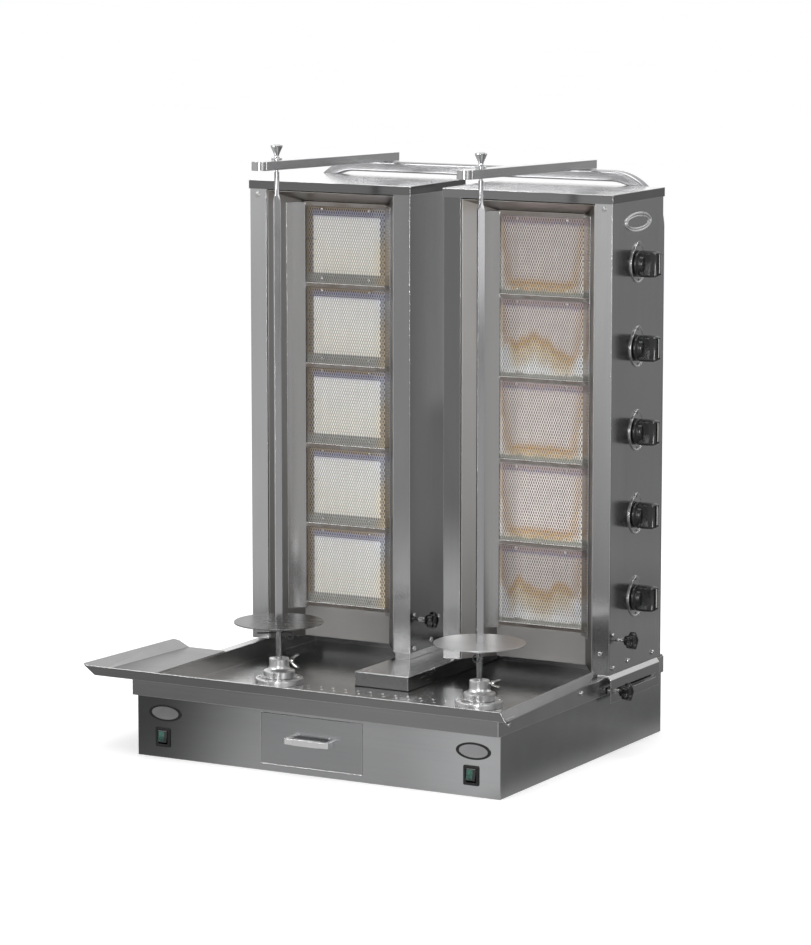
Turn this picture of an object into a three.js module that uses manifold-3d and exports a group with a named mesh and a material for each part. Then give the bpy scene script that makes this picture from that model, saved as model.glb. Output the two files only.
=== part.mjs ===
// Double vertical rotisserie broiler (gas): two radiant burner towers, two driven spits.
// Millimetres, +Z up, front faces -Y, right is +X.
// Origin: centre of the base cabinet's footprint, on the ground.
import * as THREE from "three";
import * as BufferGeometryUtils from "three/addons/utils/BufferGeometryUtils.js";
import Module from "manifold-3d";

const wasm = await Module();
wasm.setup();

const radians = (degrees) => (degrees * Math.PI) / 180;

// ---------------------------------------------------------------- driving dimensions
const SIDES = ["left", "right"];
const GAP = 0.4; // clearance between neighbouring pieces
const SHEET = 1.5; // sheet metal thickness
const OVERCUT = 5; // how far most cutting tools reach past a face

const BASE_W = 736;
const BASE_D = 634;
const BASE_H = 107; // cabinet height under the drip tray
const BASE_FRONT = -BASE_D / 2;

const TRAY_FLOOR = 109; // top of the drip tray floor
const TRAY_RIM = 142; // top of the drip tray rim
const RIM_REST = TRAY_RIM + GAP; // underside of sheets lying on the rim
const SKIRT_X = 371; // half width over the tray's skirt
const SKIRT_FRONT = -330;
const SKIRT_BACK = 321;

const COVER_TOP = 136; // top of the centre channel cover

const TOWERS = {
  left: { x: -198.7, knobSide: -1 }, // knobSide: direction from the centre to the gas knobs
  right: { x: 209.4, knobSide: 1 },
};
const TOWER_HALF_W = 338 / 2;
const TOWER_D = 207;
const TOWER_Y = 79; // front face of the towers
const TOWER_BOTTOM = 147.5;
const TOWER_TOP = 1008.4;
const TOWER_OPEN = TOWER_HALF_W - 34.5; // half opening between the front flanges
const RECESS = 62; // depth of the burner plate behind the front flange
const BURNERS = 5; // burners, valves and gas knobs per tower
const BURNER_PITCH = 150.5;
const BURNER_TOP_Z = 888.5; // centre of the uppermost burner
const KNOB_Y = 184; // gas knob axis
const KNOB_R = 23.5;
const SLIDE_CLAMP = { y: 92.5, z: 118 }; // stud that clamps the right tower's slide
const TOWER_CLAMP = { y: TOWER_Y + 36, z: 207 }; // clamp screw in a tower's right wall

const SPIT = { left: [-202, -101], right: [212, -101] }; // spit axes [x, y]
const SPIT_BAR = 12; // square bar
const SPIT_ROD_R = 4.6;
const SPIT_YAW = radians(38);
const CLIP_YAW = { left: SPIT_YAW, right: radians(-61) };
const CLIP_Z = 202;
const HUB_R = 43.3; // radius of the bearing flange on the tray

const ARM_W = 30;
const ARM_T = 16;
const ARM_BACK_Y = 320;
const ARM_BACK_Z = 1034.5; // underside at the back end
const ARM_PITCH = radians(1.38);

const DRAWER_X0 = -108.8;
const DRAWER_X1 = 95.8;
const DRAWER_Z0 = 13.8;
const DRAWER_Z1 = 104.0;
const DRAWER_FRONT = BASE_FRONT - 0.2;

const SWITCH_X = { left: -315, right: 312 };
const SWITCH_Z = 37;

// height of gas knob and valve i, counted from the top
const valveZ = (i) => 879 - 151.4 * i;

// ---------------------------------------------------------------- solid helpers
function solid(geometry) {
  let g = geometry.index ? geometry.toNonIndexed() : geometry.clone();
  g.deleteAttribute("normal");
  g.deleteAttribute("uv");
  g = BufferGeometryUtils.mergeVertices(g, 1e-4);
  const vertProperties = new Float32Array(g.attributes.position.array);
  const triVerts = new Uint32Array(g.index.array);
  return new wasm.Manifold(new wasm.Mesh({ numProp: 3, vertProperties, triVerts }));
}

function toGeometry(body) {
  const mesh = body.getMesh();
  const stride = mesh.numProp;
  const count = mesh.vertProperties.length / stride;
  const positions = new Float32Array(count * 3);
  for (let i = 0; i < count; i++) {
    for (let k = 0; k < 3; k++) positions[i * 3 + k] = mesh.vertProperties[i * stride + k];
  }
  const g = new THREE.BufferGeometry();
  g.setAttribute("position", new THREE.BufferAttribute(positions, 3));
  g.setIndex(new THREE.BufferAttribute(new Uint32Array(mesh.triVerts), 1));
  const flat = g.toNonIndexed();
  flat.computeVertexNormals();
  return flat;
}

// two bounds in rising order
const span = (a, b) => [Math.min(a, b), Math.max(a, b)];

function box(x0, x1, y0, y1, z0, z1) {
  const g = new THREE.BoxGeometry(x1 - x0, y1 - y0, z1 - z0);
  g.translate((x0 + x1) / 2, (y0 + y1) / 2, (z0 + z1) / 2);
  return solid(g);
}

// round bars along one axis
function cylX(y, z, x0, x1, radius, segments) {
  const g = new THREE.CylinderGeometry(radius, radius, x1 - x0, segments);
  g.rotateZ(Math.PI / 2);
  g.translate((x0 + x1) / 2, y, z);
  return solid(g);
}
function cylY(x, z, y0, y1, radius, segments) {
  const g = new THREE.CylinderGeometry(radius, radius, y1 - y0, segments);
  g.translate(x, (y0 + y1) / 2, z);
  return solid(g);
}
function cylZ(x, y, z0, z1, radius, segments) {
  const g = new THREE.CylinderGeometry(radius, radius, z1 - z0, segments);
  g.rotateX(Math.PI / 2);
  g.translate(x, y, (z0 + z1) / 2);
  return solid(g);
}

function counterClockwise(points) {
  let area = 0;
  points.forEach(([x0, y0], i) => {
    const [x1, y1] = points[(i + 1) % points.length];
    area += x0 * y1 - x1 * y0;
  });
  return area > 0 ? points : points.slice().reverse();
}
function shapeOf(points) {
  const shape = new THREE.Shape();
  counterClockwise(points).forEach(([x, y], i) => (i ? shape.lineTo(x, y) : shape.moveTo(x, y)));
  shape.closePath();
  return shape;
}
const extrude = (points, depth) =>
  new THREE.ExtrudeGeometry(shapeOf(points), { depth, bevelEnabled: false });

// polygon in plan (x, y), raised from z0 to z1
function prismZ(points, z0, z1) {
  return solid(extrude(points, z1 - z0).translate(0, 0, z0));
}
// polygon in side view (y, z), drawn out from x0 to x1
function prismX(points, x0, x1) {
  const turn = new THREE.Matrix4().set(0, 0, 1, x0, 1, 0, 0, 0, 0, 1, 0, 0, 0, 0, 0, 1);
  return solid(extrude(points, x1 - x0).applyMatrix4(turn));
}
// polygon in front view (x, z), drawn out from y0 to y1
function prismY(points, y0, y1) {
  const turn = new THREE.Matrix4().set(1, 0, 0, 0, 0, 0, -1, y1, 0, 1, 0, 0, 0, 0, 0, 1);
  return solid(extrude(points, y1 - y0).applyMatrix4(turn));
}

// profile of [radius, z] turned about the vertical axis through (x, y)
function lathe(profile, x, y, segments) {
  const points = profile.map(([r, z]) => new THREE.Vector2(r, z));
  const g = new THREE.LatheGeometry(points, segments);
  g.rotateX(Math.PI / 2);
  g.translate(x, y, 0);
  return solid(g);
}

// sheet between an outline of [x, y, z] corners and its copy moved by shift
function leaningSheet(outline, shift) {
  const far = outline.map((corner) => corner.map((value, k) => value + shift[k]));
  const triangles = [];
  for (let i = 1; i < outline.length - 1; i++) {
    triangles.push([outline[0], outline[i], outline[i + 1]], [far[0], far[i + 1], far[i]]);
  }
  for (let i = 0; i < outline.length; i++) {
    const j = (i + 1) % outline.length;
    triangles.push([outline[i], far[i], far[j]], [outline[i], far[j], outline[j]]);
  }
  const build = (list) => {
    const g = new THREE.BufferGeometry();
    g.setAttribute("position", new THREE.BufferAttribute(new Float32Array(list.flat(2)), 3));
    return solid(g);
  };
  const body = build(triangles);
  // an inside-out sheet has its triangles turned over
  return body.volume() < 0 ? build(triangles.map(([a, b, c]) => [a, c, b])) : body;
}

function join(...parts) {
  return parts.flat().reduce((a, b) => a.add(b));
}
function cut(body, ...tools) {
  return tools.flat().reduce((a, b) => a.subtract(b), body);
}
// n calls of make(i), collected
const repeat = (n, make) => Array.from({ length: n }, (_, i) => make(i));

function arc(cx, cy, radius, from, to, steps) {
  return repeat(steps + 1, (i) => {
    const angle = from + ((to - from) * i) / steps;
    return [cx + radius * Math.cos(angle), cy + radius * Math.sin(angle)];
  });
}

// ---------------------------------------------------------------- materials
const STEEL = { color: 0x8d8d8b, roughness: 0.32, metalness: 1.0 };
const STEEL_DARK = { color: 0x6f6f6d, roughness: 0.38, metalness: 1.0 };
const ALU = { color: 0xd8d9da, roughness: 0.25, metalness: 1.0 };
const CHROME = { color: 0xc9cbd0, roughness: 0.08, metalness: 1.0 };
const CERAMIC = { color: 0xe6e0d2, roughness: 0.9, metalness: 0.0 };
const BLACK = { color: 0x121212, roughness: 0.22, metalness: 0.0 };
const BRASS = { color: 0xb08d4a, roughness: 0.35, metalness: 1.0 };
const IRON = { color: 0x3d3f42, roughness: 0.55, metalness: 0.6 };
const GREEN = { color: 0x1f6b4a, roughness: 0.2, metalness: 0.0 };

// ---------------------------------------------------------------- base cabinet
function baseCabinet() {
  const halfW = BASE_W / 2;
  const back = BASE_D / 2;
  const block = (insetX, insetY, z0, z1) =>
    box(-halfW + insetX, halfW - insetX, BASE_FRONT + insetY, back - insetY, z0, z1);
  const frontOpening = (x0, x1, z0, z1) =>
    box(x0, x1, BASE_FRONT - OVERCUT, BASE_FRONT + OVERCUT, z0, z1);
  const drawerPlay = 0.8;
  const switchHalf = { x: 11.5, z: 13.6 };

  let body = cut(
    block(0, 0, 0, BASE_H),
    block(SHEET, SHEET, SHEET, BASE_H - SHEET),
    block(16, 14, BASE_H - 4, BASE_H + 2), // open top inside a narrow border
    frontOpening(
      DRAWER_X0 - drawerPlay, DRAWER_X1 + drawerPlay,
      DRAWER_Z0 - drawerPlay, DRAWER_Z1 + drawerPlay,
    ),
    SIDES.map((side) =>
      frontOpening(
        SWITCH_X[side] - switchHalf.x, SWITCH_X[side] + switchHalf.x,
        SWITCH_Z - switchHalf.z, SWITCH_Z + switchHalf.z,
      ),
    ),
  );

  // drawer runners: angle rails from front to back
  const railFront = BASE_FRONT + 1;
  const railBack = back - 1;
  for (const [edge, out] of [[DRAWER_X0, -1], [DRAWER_X1, 1]]) {
    const guide = box(...span(edge + out * 1.2, edge + out * 8), railFront, railBack, 1, 46);
    const shelfX = span(edge - out * 10, edge + out * 4);
    const shelf = box(...shelfX, railFront + 2, railBack, 1, DRAWER_Z0 - GAP);
    body = join(body, guide, shelf);
  }

  // low upstand round the top edge, inside the tray's skirt
  const upstand = cut(block(0, 0, BASE_H - 1, 110.9), block(SHEET, SHEET, BASE_H - 3, 115));
  const cableEntry = cylY(250, 52, back - 6, back + 6, 11, 12);
  return cut(join(body, upstand), cableEntry);
}

// ---------------------------------------------------------------- drip tray
const PAN_HALF_W = 352; // inside of the pan
const PAN_FRONT = -307;
const PAN_BACK = 284;
const SKIRT_BOTTOM = 111.5;
const DRAIN_PITCH = 25.8;
const DRAIN_ROWS_Y = [-97, -117]; // the second row is shifted by half a pitch

function dripTray() {
  const floor = TRAY_FLOOR;
  const skirt = (inset, z0, z1) =>
    box(-SKIRT_X + inset, SKIRT_X - inset, SKIRT_FRONT + inset, SKIRT_BACK - inset, z0, z1);
  const pan = (wall, z0, z1) =>
    box(-PAN_HALF_W - wall, PAN_HALF_W + wall, PAN_FRONT - wall, PAN_BACK + wall, z0, z1);
  const floorHole = (x, y, radius, segments) =>
    cylZ(x, y, floor - OVERCUT, floor + OVERCUT, radius, segments);

  // hollow of the pan, then the space between pan wall and skirt
  let body = cut(
    skirt(0, floor - SHEET, TRAY_RIM),
    pan(0, floor, TRAY_RIM + OVERCUT),
    cut(skirt(SHEET, floor - 10, TRAY_RIM - SHEET), pan(SHEET, floor - 12, TRAY_RIM)),
    cut(
      skirt(-OVERCUT, floor - 10, SKIRT_BOTTOM),
      pan(SHEET, floor - 12, SKIRT_BOTTOM + OVERCUT),
    ),
    SIDES.map((side) => floorHole(...SPIT[side], 26, 20)), // for the spit drives
  );

  // two rows of drain holes, left out round the bearing flanges
  for (let i = 0; i < 24; i++) {
    DRAIN_ROWS_Y.forEach((y, row) => {
      const x = -297 + DRAIN_PITCH * i + (row * DRAIN_PITCH) / 2;
      const nearHub = SIDES.some(
        (side) => Math.hypot(x - SPIT[side][0], y - SPIT[side][1]) < HUB_R + 5,
      );
      if (x <= 300 && !nearHub) body = cut(body, floorHole(x, y, 2.6, 6));
    });
  }

  // hole for the slide clamp stud in the right skirt
  return cut(body, cylX(SLIDE_CLAMP.y, SLIDE_CLAMP.z, SKIRT_X - 8, SKIRT_X + 8, 4.7, 10));
}

// ------------------------------------- catch frame: front lip, left wing, right splash flange
const LIP_TOP = 156;
const WING_FRONT_X = -450; // fold of the left wing at the front
const WING_BACK_X = -432; // fold of the left wing at the back
const WING_BACK_Y = -45;
const FLARE = 25; // outward lean of the wing's side flange

function catchFrame() {
  const bottom = RIM_REST;
  const front = SKIRT_FRONT - 2.0;
  const sheet = 1.6;
  const lipOutline = [
    [WING_FRONT_X - 1, bottom - 3], [386, bottom - 3],
    [375, LIP_TOP], [WING_FRONT_X - FLARE + 1, LIP_TOP],
  ];
  const lip = prismY(lipOutline, front, front + sheet);
  // ledge that lies on the tray rim behind the lip
  const ledge = box(WING_FRONT_X + 1, 371, front, -310, bottom, bottom + sheet);
  // wing plate on the left rim and out to its fold
  const wingOutline = [
    [WING_FRONT_X, front], [-352.6, front], [-352.6, WING_BACK_Y], [WING_BACK_X, WING_BACK_Y],
  ];
  const wing = prismZ(wingOutline, bottom, bottom + sheet);

  // flared side flange of the wing, tapering inwards to the back, with a clipped back corner;
  // along runs down the fold (0 front, 1 back), up rises from the fold to the edge
  const flangePoint = ([along, up]) => [
    WING_FRONT_X + (WING_BACK_X - WING_FRONT_X) * along - FLARE * up,
    front + (WING_BACK_Y - front) * along,
    bottom + 0.2 + (LIP_TOP + 2 - bottom) * up,
  ];
  const flangeCorners = [[0, 0], [1, 0], [0.985, 0.75], [0.955, 1], [0, 1]];
  const flange = leaningSheet(flangeCorners.map(flangePoint), [0.94, 0, 1.3]);

  // right splash flange standing on the rim, leaning inwards and rising to the back
  const splashCorners = [
    [386, front, bottom - 3], [371.2, 18, bottom], [366, 45, 160], [375, front, LIP_TOP],
  ];
  const splash = leaningSheet(splashCorners, [-sheet, 0, 0]);
  // its ledge on the right rim
  const sideLedgeOutline = [[384, front], [369.8, 18], [353, 18], [353, front]];
  const sideLedge = prismZ(sideLedgeOutline, bottom, bottom + sheet);
  return join(lip, ledge, wing, flange, splash, sideLedge);
}

// ---------------------------------------------------------------- centre channel cover
function centreChannelCover() {
  const [left, right, front, back] = [-66, 44, -60, 282];
  const bottom = TRAY_FLOOR + GAP;
  // the hollow runs out through the underside and the back
  return cut(
    box(left, right, front, back, bottom, COVER_TOP),
    box(left + SHEET, right - SHEET, front + SHEET, back + 13, bottom - 5, COVER_TOP - SHEET),
  );
}

// ---------------------------------------------------------------- rear tube frame
const FRAME_X = 370; // outer half width
const FRAME_TOP = 1034;
const FRAME_TUBE = 20;
const FRAME_FRONT = 290.5;
const FRAME_BACK = 312.5;
const FRAME_R = 100; // outer corner radius

function rearFrame() {
  const footTop = TRAY_RIM + 3.2;
  const cornerX = FRAME_X - FRAME_R;
  const cornerZ = FRAME_TOP - FRAME_R;
  const quarter = Math.PI / 2;
  // upside-down U, its walls moved in by inset
  const hoop = (inset, bottom) => {
    const outerR = FRAME_R - inset;
    const innerR = FRAME_R - FRAME_TUBE + inset;
    const innerX = FRAME_X - FRAME_TUBE + inset;
    return [
      [FRAME_X - inset, bottom],
      ...arc(cornerX, cornerZ, outerR, 0, quarter, 8),
      ...arc(-cornerX, cornerZ, outerR, quarter, Math.PI, 8),
      [-FRAME_X + inset, bottom],
      [-innerX, bottom],
      ...arc(-cornerX, cornerZ, innerR, Math.PI, quarter, 8),
      ...arc(cornerX, cornerZ, innerR, quarter, 0, 8),
      [innerX, bottom],
    ];
  };
  const tube = prismY(hoop(0, footTop - 1), FRAME_FRONT, FRAME_BACK);
  const bore = prismY(hoop(SHEET, footTop - 8), FRAME_FRONT + SHEET, FRAME_BACK - SHEET);
  // foot plates on the tray rim
  const feet = [-1, 1].map((sign) => {
    const footX = span(sign * 349.9, sign * FRAME_X);
    return box(...footX, FRAME_FRONT - 2, FRAME_BACK + 6, RIM_REST, footTop);
  });
  return cut(join(tube, feet), bore);
}

// ---------------------------------------------------------------- spits
// fixed bearing flange with the gear motor hanging under the tray
function spitDrive([x, y]) {
  const neckR = HUB_R - 19;
  const seat = TRAY_FLOOR + GAP;
  const profile = [
    [0, 60], [neckR, 60], [neckR, seat], [HUB_R, seat],
    [HUB_R, 117.5], [HUB_R - 1.5, 119], [0, 119],
  ];
  const bearing = cut(lathe(profile, x, y, 32), cylZ(x, y, 84, 125, 12.6, 16));
  const gearbox = box(x - 36, x + 36, y - 45, y + 30, 22, 62);
  const motor = cylY(x, 42, y + 28, y + 95, 29, 18);
  return join(bearing, gearbox, motor);
}

// rotating hub with its stem in the bearing and the socket for the spit
function spitHub([x, y]) {
  const top = 155.5;
  const profile = [
    [0, 90], [12, 90], [12, 119.5], [25.5, 119.5], [25.5, 121], [28.6, 121],
    [28.6, 132.4], [27.4, 133.8], [21.4, 139.2], [19.2, 142.6], [18.3, 146],
    [18.2, top - 1.2], [17.2, top], [0, top],
  ];
  return cut(lathe(profile, x, y, 28), cylZ(x, y, 108, top + 5, 6.1, 16));
}

// round foot, square bar with pin holes, pointed shoulder, round top rod with a blind bore
function spit([x, y], clipYaw) {
  const barBottom = 211;
  const barTop = 988;
  const shoulderH = 14;
  const bar = new THREE.BoxGeometry(SPIT_BAR, SPIT_BAR, barTop - barBottom);
  bar.rotateZ(SPIT_YAW);
  bar.translate(x, y, (barTop + barBottom) / 2);
  const barCornerR = SPIT_BAR * Math.SQRT1_2;
  const shoulder = new THREE.CylinderGeometry(SPIT_ROD_R, barCornerR, shoulderH, 4);
  shoulder.rotateY(Math.PI / 4);
  shoulder.rotateX(Math.PI / 2);
  shoulder.rotateZ(SPIT_YAW);
  shoulder.translate(x, y, barTop + shoulderH / 2);
  const foot = cylZ(x, y, 108.6, 212, 5.5, 14);
  const rod = cylZ(x, y, 990, 1040, SPIT_ROD_R, 14);
  const blindBore = cylZ(x, y, 1020, 1045, 3.5, 12);
  const pinHole = (z, radius, yaw) => {
    const g = new THREE.CylinderGeometry(radius, radius, 30, 10);
    g.rotateZ(Math.PI / 2);
    g.rotateZ(yaw);
    g.translate(x, y, z);
    return solid(g);
  };
  return cut(
    join(foot, solid(bar), solid(shoulder), rod),
    blindBore,
    pinHole(CLIP_Z, 2.1, clipYaw),
    pinHole(246, 2.3, SPIT_YAW),
    pinHole(322, 2.3, SPIT_YAW),
  );
}

// Centre lines of the wire clips: [along the leg, across it, up] from the spit axis.
const CLIP_PATH = {
  // the loop hangs down, nearly in the plane of the leg
  left: [
    [-40, 0, 0], [-26, 0, 0], [-12, 0, 0], [0, 0, 0], [12, 0, 0], [20, 0, -0.6],
    [25, 0, -4], [26, 0.5, -9], [21.5, 1, -13], [15.5, 1.5, -11.5], [12.5, 2, -7.5],
  ],
  // the loop is a ring across the end of the leg
  right: [
    [-16, 0, 0], [-8, 0, 0], [0, 0, 0], [8, 0, 0], [12.5, 0, 0],
    ...repeat(8, (step) => {
      const i = step + 1;
      const angle = Math.PI / 4 - radians(i * 300) / 8;
      return [14 + 0.35 * i, 5 - 7 * Math.cos(angle), -5 + 7 * Math.sin(angle)];
    }),
  ],
};

// wire clip through the foot of the spit, under the meat plate
function spitClip([x, y], yaw, path) {
  const legAxis = new THREE.Vector3(Math.cos(yaw), Math.sin(yaw), 0);
  const crossAxis = new THREE.Vector3(Math.sin(yaw), -Math.cos(yaw), 0);
  const stations = path.map(([along, across, up]) =>
    new THREE.Vector3(x, y, CLIP_Z)
      .addScaledVector(legAxis, along)
      .addScaledVector(crossAxis, across)
      .add(new THREE.Vector3(0, 0, up)),
  );
  const wire = shapeOf(arc(0, 0, 1.5, 0, radians(300), 5));
  const extrudePath = new THREE.CatmullRomCurve3(stations);
  return solid(
    new THREE.ExtrudeGeometry(wire, { steps: 30, bevelEnabled: false, extrudePath }),
  );
}

// round plate with a boss under it and a square bore for the spit
function meatPlate([x, y]) {
  const middle = 222;
  const plate = cylZ(x, y, middle - 1, middle + 1, 82, 48);
  const boss = cylZ(x, y, 205.5, middle, 11.5, 20);
  const bore = new THREE.BoxGeometry(SPIT_BAR + 1, SPIT_BAR + 1, 60);
  bore.rotateZ(SPIT_YAW);
  bore.translate(x, y, middle);
  return cut(join(plate, boss), solid(bore));
}

// ---------------------------------------------------------------- upper arms and lock pins
// flat arm with a rounded nose at the front, rising slightly towards it
function spitArm([x, y]) {
  const half = ARM_W / 2;
  const noseY = -159; // centre of the rounded nose
  const plan = [
    ...arc(0, noseY - ARM_BACK_Y, half, Math.PI, 2 * Math.PI, 12), [half, 0], [-half, 0],
  ];
  const g = extrude(plan, ARM_T);
  g.rotateX(-ARM_PITCH);
  g.translate(x, ARM_BACK_Y, ARM_BACK_Z);
  return cut(solid(g), cylZ(x, y, 1000, 1100, 5.0, 16));
}

function lockPin([x, y]) {
  const armTop = ARM_BACK_Z + ARM_T + (ARM_BACK_Y - y) * Math.tan(ARM_PITCH);
  const armUnderside = armTop - ARM_T;
  const collar = armTop + 0.7; // underside of the collar
  const profile = [
    [0, 1024], [2.2, 1024], [3.0, 1026], [3.0, armUnderside + 1.5], [4.4, armUnderside + 3],
    [4.4, collar], [9.8, collar], [9.8, collar + 3.4], [5.6, collar + 4.2], [4.3, collar + 7],
    [4.6, collar + 9.5], [11.2, collar + 24.5], [10.6, collar + 26.4], [5, collar + 28.2],
    [0, collar + 28.6],
  ];
  return lathe(profile, x, y, 22);
}

// ---------------------------------------------------------------- drawer
function drawerBox() {
  const wall = 1.2;
  const x0 = DRAWER_X0 + 2.4;
  const x1 = DRAWER_X1 - 2.4;
  const front = DRAWER_FRONT;
  const back = front + 300;
  const bin = cut(
    box(x0, x1, front + 1, back, DRAWER_Z0, 88),
    box(x0 + wall, x1 - wall, front + 1.6, back - wall, DRAWER_Z0 + wall, 95),
  );
  return join(bin, box(DRAWER_X0, DRAWER_X1, front, front + 1.8, DRAWER_Z0, DRAWER_Z1));
}

// bow handle with a thicker middle grip
function drawerHandle() {
  const centre = (DRAWER_X0 + DRAWER_X1) / 2;
  const z = 62;
  // [x from the centre, distance in front of the drawer]
  const outline = [
    [-45, GAP], [-45, 19], [-42, 22], [42, 22], [45, 19], [45, GAP],
    [37, GAP], [37, 14], [-37, 14], [-37, GAP],
  ].map(([x, out]) => [centre + x, DRAWER_FRONT - out]);
  const grip = box(
    centre - 26, centre + 26, DRAWER_FRONT - 22.8, DRAWER_FRONT - 13.4, z - 5.6, z + 5.6,
  );
  return join(prismZ(outline, z - 5, z + 5), grip);
}

// ---------------------------------------------------------------- rocker switches
function rocker(x) {
  const pivot = 8; // depth of the cross axis behind the panel face
  const tilt = radians(-8);
  // [depth behind the panel face, height above the pivot]
  const profile = [
    [7, 9.4], [-3.2, 10.4], [-3.6, 9.6], [-2.7, 0], [-3.6, -9.6], [-3.2, -10.4], [7, -9.4],
  ].map(([depth, height]) => {
    const fromPivot = depth - pivot;
    return [
      BASE_FRONT + pivot + fromPivot * Math.cos(tilt) - height * Math.sin(tilt),
      SWITCH_Z + fromPivot * Math.sin(tilt) + height * Math.cos(tilt),
    ];
  });
  return prismX(profile, x - 9, x + 9);
}

// ---------------------------------------------------------------- towers
// "across" is measured from a tower's centre towards its gas knobs
const acrossX = (tower, across) => tower.x + tower.knobSide * across;
const acrossSpan = (tower, a, b) => span(acrossX(tower, a), acrossX(tower, b));

// front flanges, sides and back folded from one sheet
function towerCasing(tower) {
  const half = TOWER_HALF_W;
  const back = TOWER_Y + TOWER_D;
  // [x from the centre, depth behind the front face]
  const outline = [
    [-TOWER_OPEN, 0], [-half, 0], [-half, TOWER_D], [half, TOWER_D], [half, 0],
    [TOWER_OPEN, 0], [TOWER_OPEN, SHEET], [half - SHEET, SHEET],
    [half - SHEET, TOWER_D - SHEET], [-half + SHEET, TOWER_D - SHEET],
    [-half + SHEET, SHEET], [-TOWER_OPEN, SHEET],
  ].map(([x, depth]) => [tower.x + x, TOWER_Y + depth]);
  const knobWall = acrossSpan(tower, half - 8, half + 8);
  const rightWall = [tower.x + half - 8, tower.x + half + 8];
  return cut(
    prismZ(outline, TOWER_BOTTOM, TOWER_TOP - 2.2),
    repeat(BURNERS, (i) => cylX(KNOB_Y, valveZ(i), ...knobWall, 7, 12)),
    cylX(TOWER_CLAMP.y, TOWER_CLAMP.z, ...rightWall, 4.8, 10),
    // exhaust slots high in the back
    repeat(5, (i) => {
      const z = 880 + 18 * i;
      return box(tower.x - 90, tower.x + 90, back - 6, back + 6, z, z + 7);
    }),
  );
}

function towerCap(tower) {
  const bottom = TOWER_TOP - 16.4;
  const around = (margin, z0, z1) =>
    box(
      tower.x - TOWER_HALF_W - margin, tower.x + TOWER_HALF_W + margin,
      TOWER_Y - margin, TOWER_Y + TOWER_D + margin, z0, z1,
    );
  return cut(around(1.9, bottom, TOWER_TOP), around(GAP, bottom - 5, TOWER_TOP - 1.6));
}

// splayed side walls, burner plate with the radiant window, sloping soffit
function towerLiner(tower) {
  const cx = tower.x;
  const mouth = TOWER_OPEN - 0.5; // half width at the front
  const throat = 91; // half width at the burner plate
  const front = TOWER_Y + SHEET + GAP;
  const plateY = TOWER_Y + RECESS;
  const plateBack = plateY + 1.4;
  const bottom = 149;
  const top = 989;
  const windowHalf = 82;
  const walls = [-1, 1].map((sign) => {
    const outline = [
      [mouth, front], [mouth - 1.8, front], [throat - 0.6, plateY],
      [throat - 0.6, plateBack], [throat + 1.4, plateBack],
    ].map(([x, y]) => [cx + sign * x, y]);
    return prismZ(outline, bottom, top);
  });
  const plate = cut(
    box(cx - throat - 1, cx + throat + 1, plateY, plateBack, bottom, top),
    box(cx - windowHalf, cx + windowHalf, plateY - OVERCUT, plateY + OVERCUT, 214, 961),
  );
  // the soffit is trimmed to the plan between the splayed walls
  const plan = [
    [cx - mouth, front], [cx + mouth, front], [cx + throat, plateBack], [cx - throat, plateBack],
  ];
  const slope = [[front - 2, 990.6], [front - 2, 989.2], [plateBack, 966.6], [plateBack, 968]];
  const soffit = prismX(slope, cx - 160, cx + 160).intersect(prismZ(plan, 900, 1005));
  return join(walls, plate, soffit);
}

// bent side strips and cross bars in front of the burners
function burnerGuard(tower) {
  // each strip has a leg on the splayed wall and a leg that turns in to the window edge;
  // [x from the centre, depth behind the tower's front face]
  const stripOutline = [
    [109.7, 30.8], [97.96, 47.66], [84.6, 56.6], [84.6, 58.1], [99.1, 48.5], [110.8, 31.6],
  ];
  const strips = [-1, 1].map((sign) => {
    const outline = stripOutline.map(([x, depth]) => [tower.x + sign * x, TOWER_Y + depth]);
    return prismZ(outline, 203, 966);
  });
  // bars halfway between burners, and above and below them
  const bars = repeat(BURNERS + 1, (i) => {
    const z = BURNER_TOP_Z + BURNER_PITCH * (0.5 - i);
    return box(tower.x - 86, tower.x + 86, TOWER_Y + 56.7, TOWER_Y + 58.1, z - 4, z + 4);
  });
  return join(strips, bars);
}

// gas pipe with a valve and an injector branch for every burner
function gasManifold(tower) {
  const pipe = 118; // pipe axis, across
  const y = KNOB_Y;
  const branches = repeat(BURNERS, (i) => {
    const z = valveZ(i);
    return [
      cylX(y, z, ...acrossSpan(tower, pipe, 158), 12, 12), // valve body
      cylX(y, z, ...acrossSpan(tower, 150, 188), 4, 10), // valve spindle
      cylX(y - 28, z + 8, ...acrossSpan(tower, 86.5, pipe), 5, 8), // injector
      box(...acrossSpan(tower, pipe - 5, pipe + 5), y - 33, y, z + 3, z + 13),
    ];
  });
  return join(cylZ(acrossX(tower, pipe), y, 190, 935, 9, 12), branches.flat());
}

// radiant face, tapered body behind it, mixing tube and its link to the body
function burner(tower, z) {
  const front = TOWER_Y + RECESS + 2.0;
  const halfH = 71;
  const taper = [
    [front + 13, z - 66], [front + 13, z + 66], [front + 34, z + 50], [front + 34, z - 50],
  ];
  return join(
    box(tower.x - 82, tower.x + 82, front, front + 14, z - halfH, z + halfH),
    prismX(taper, tower.x - 76, tower.x + 76),
    cylX(front + 44, z, ...acrossSpan(tower, -40, 84), 11, 12),
    box(...acrossSpan(tower, -40, 20), front + 30, front + 46, z - 9, z + 9),
  );
}

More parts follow.
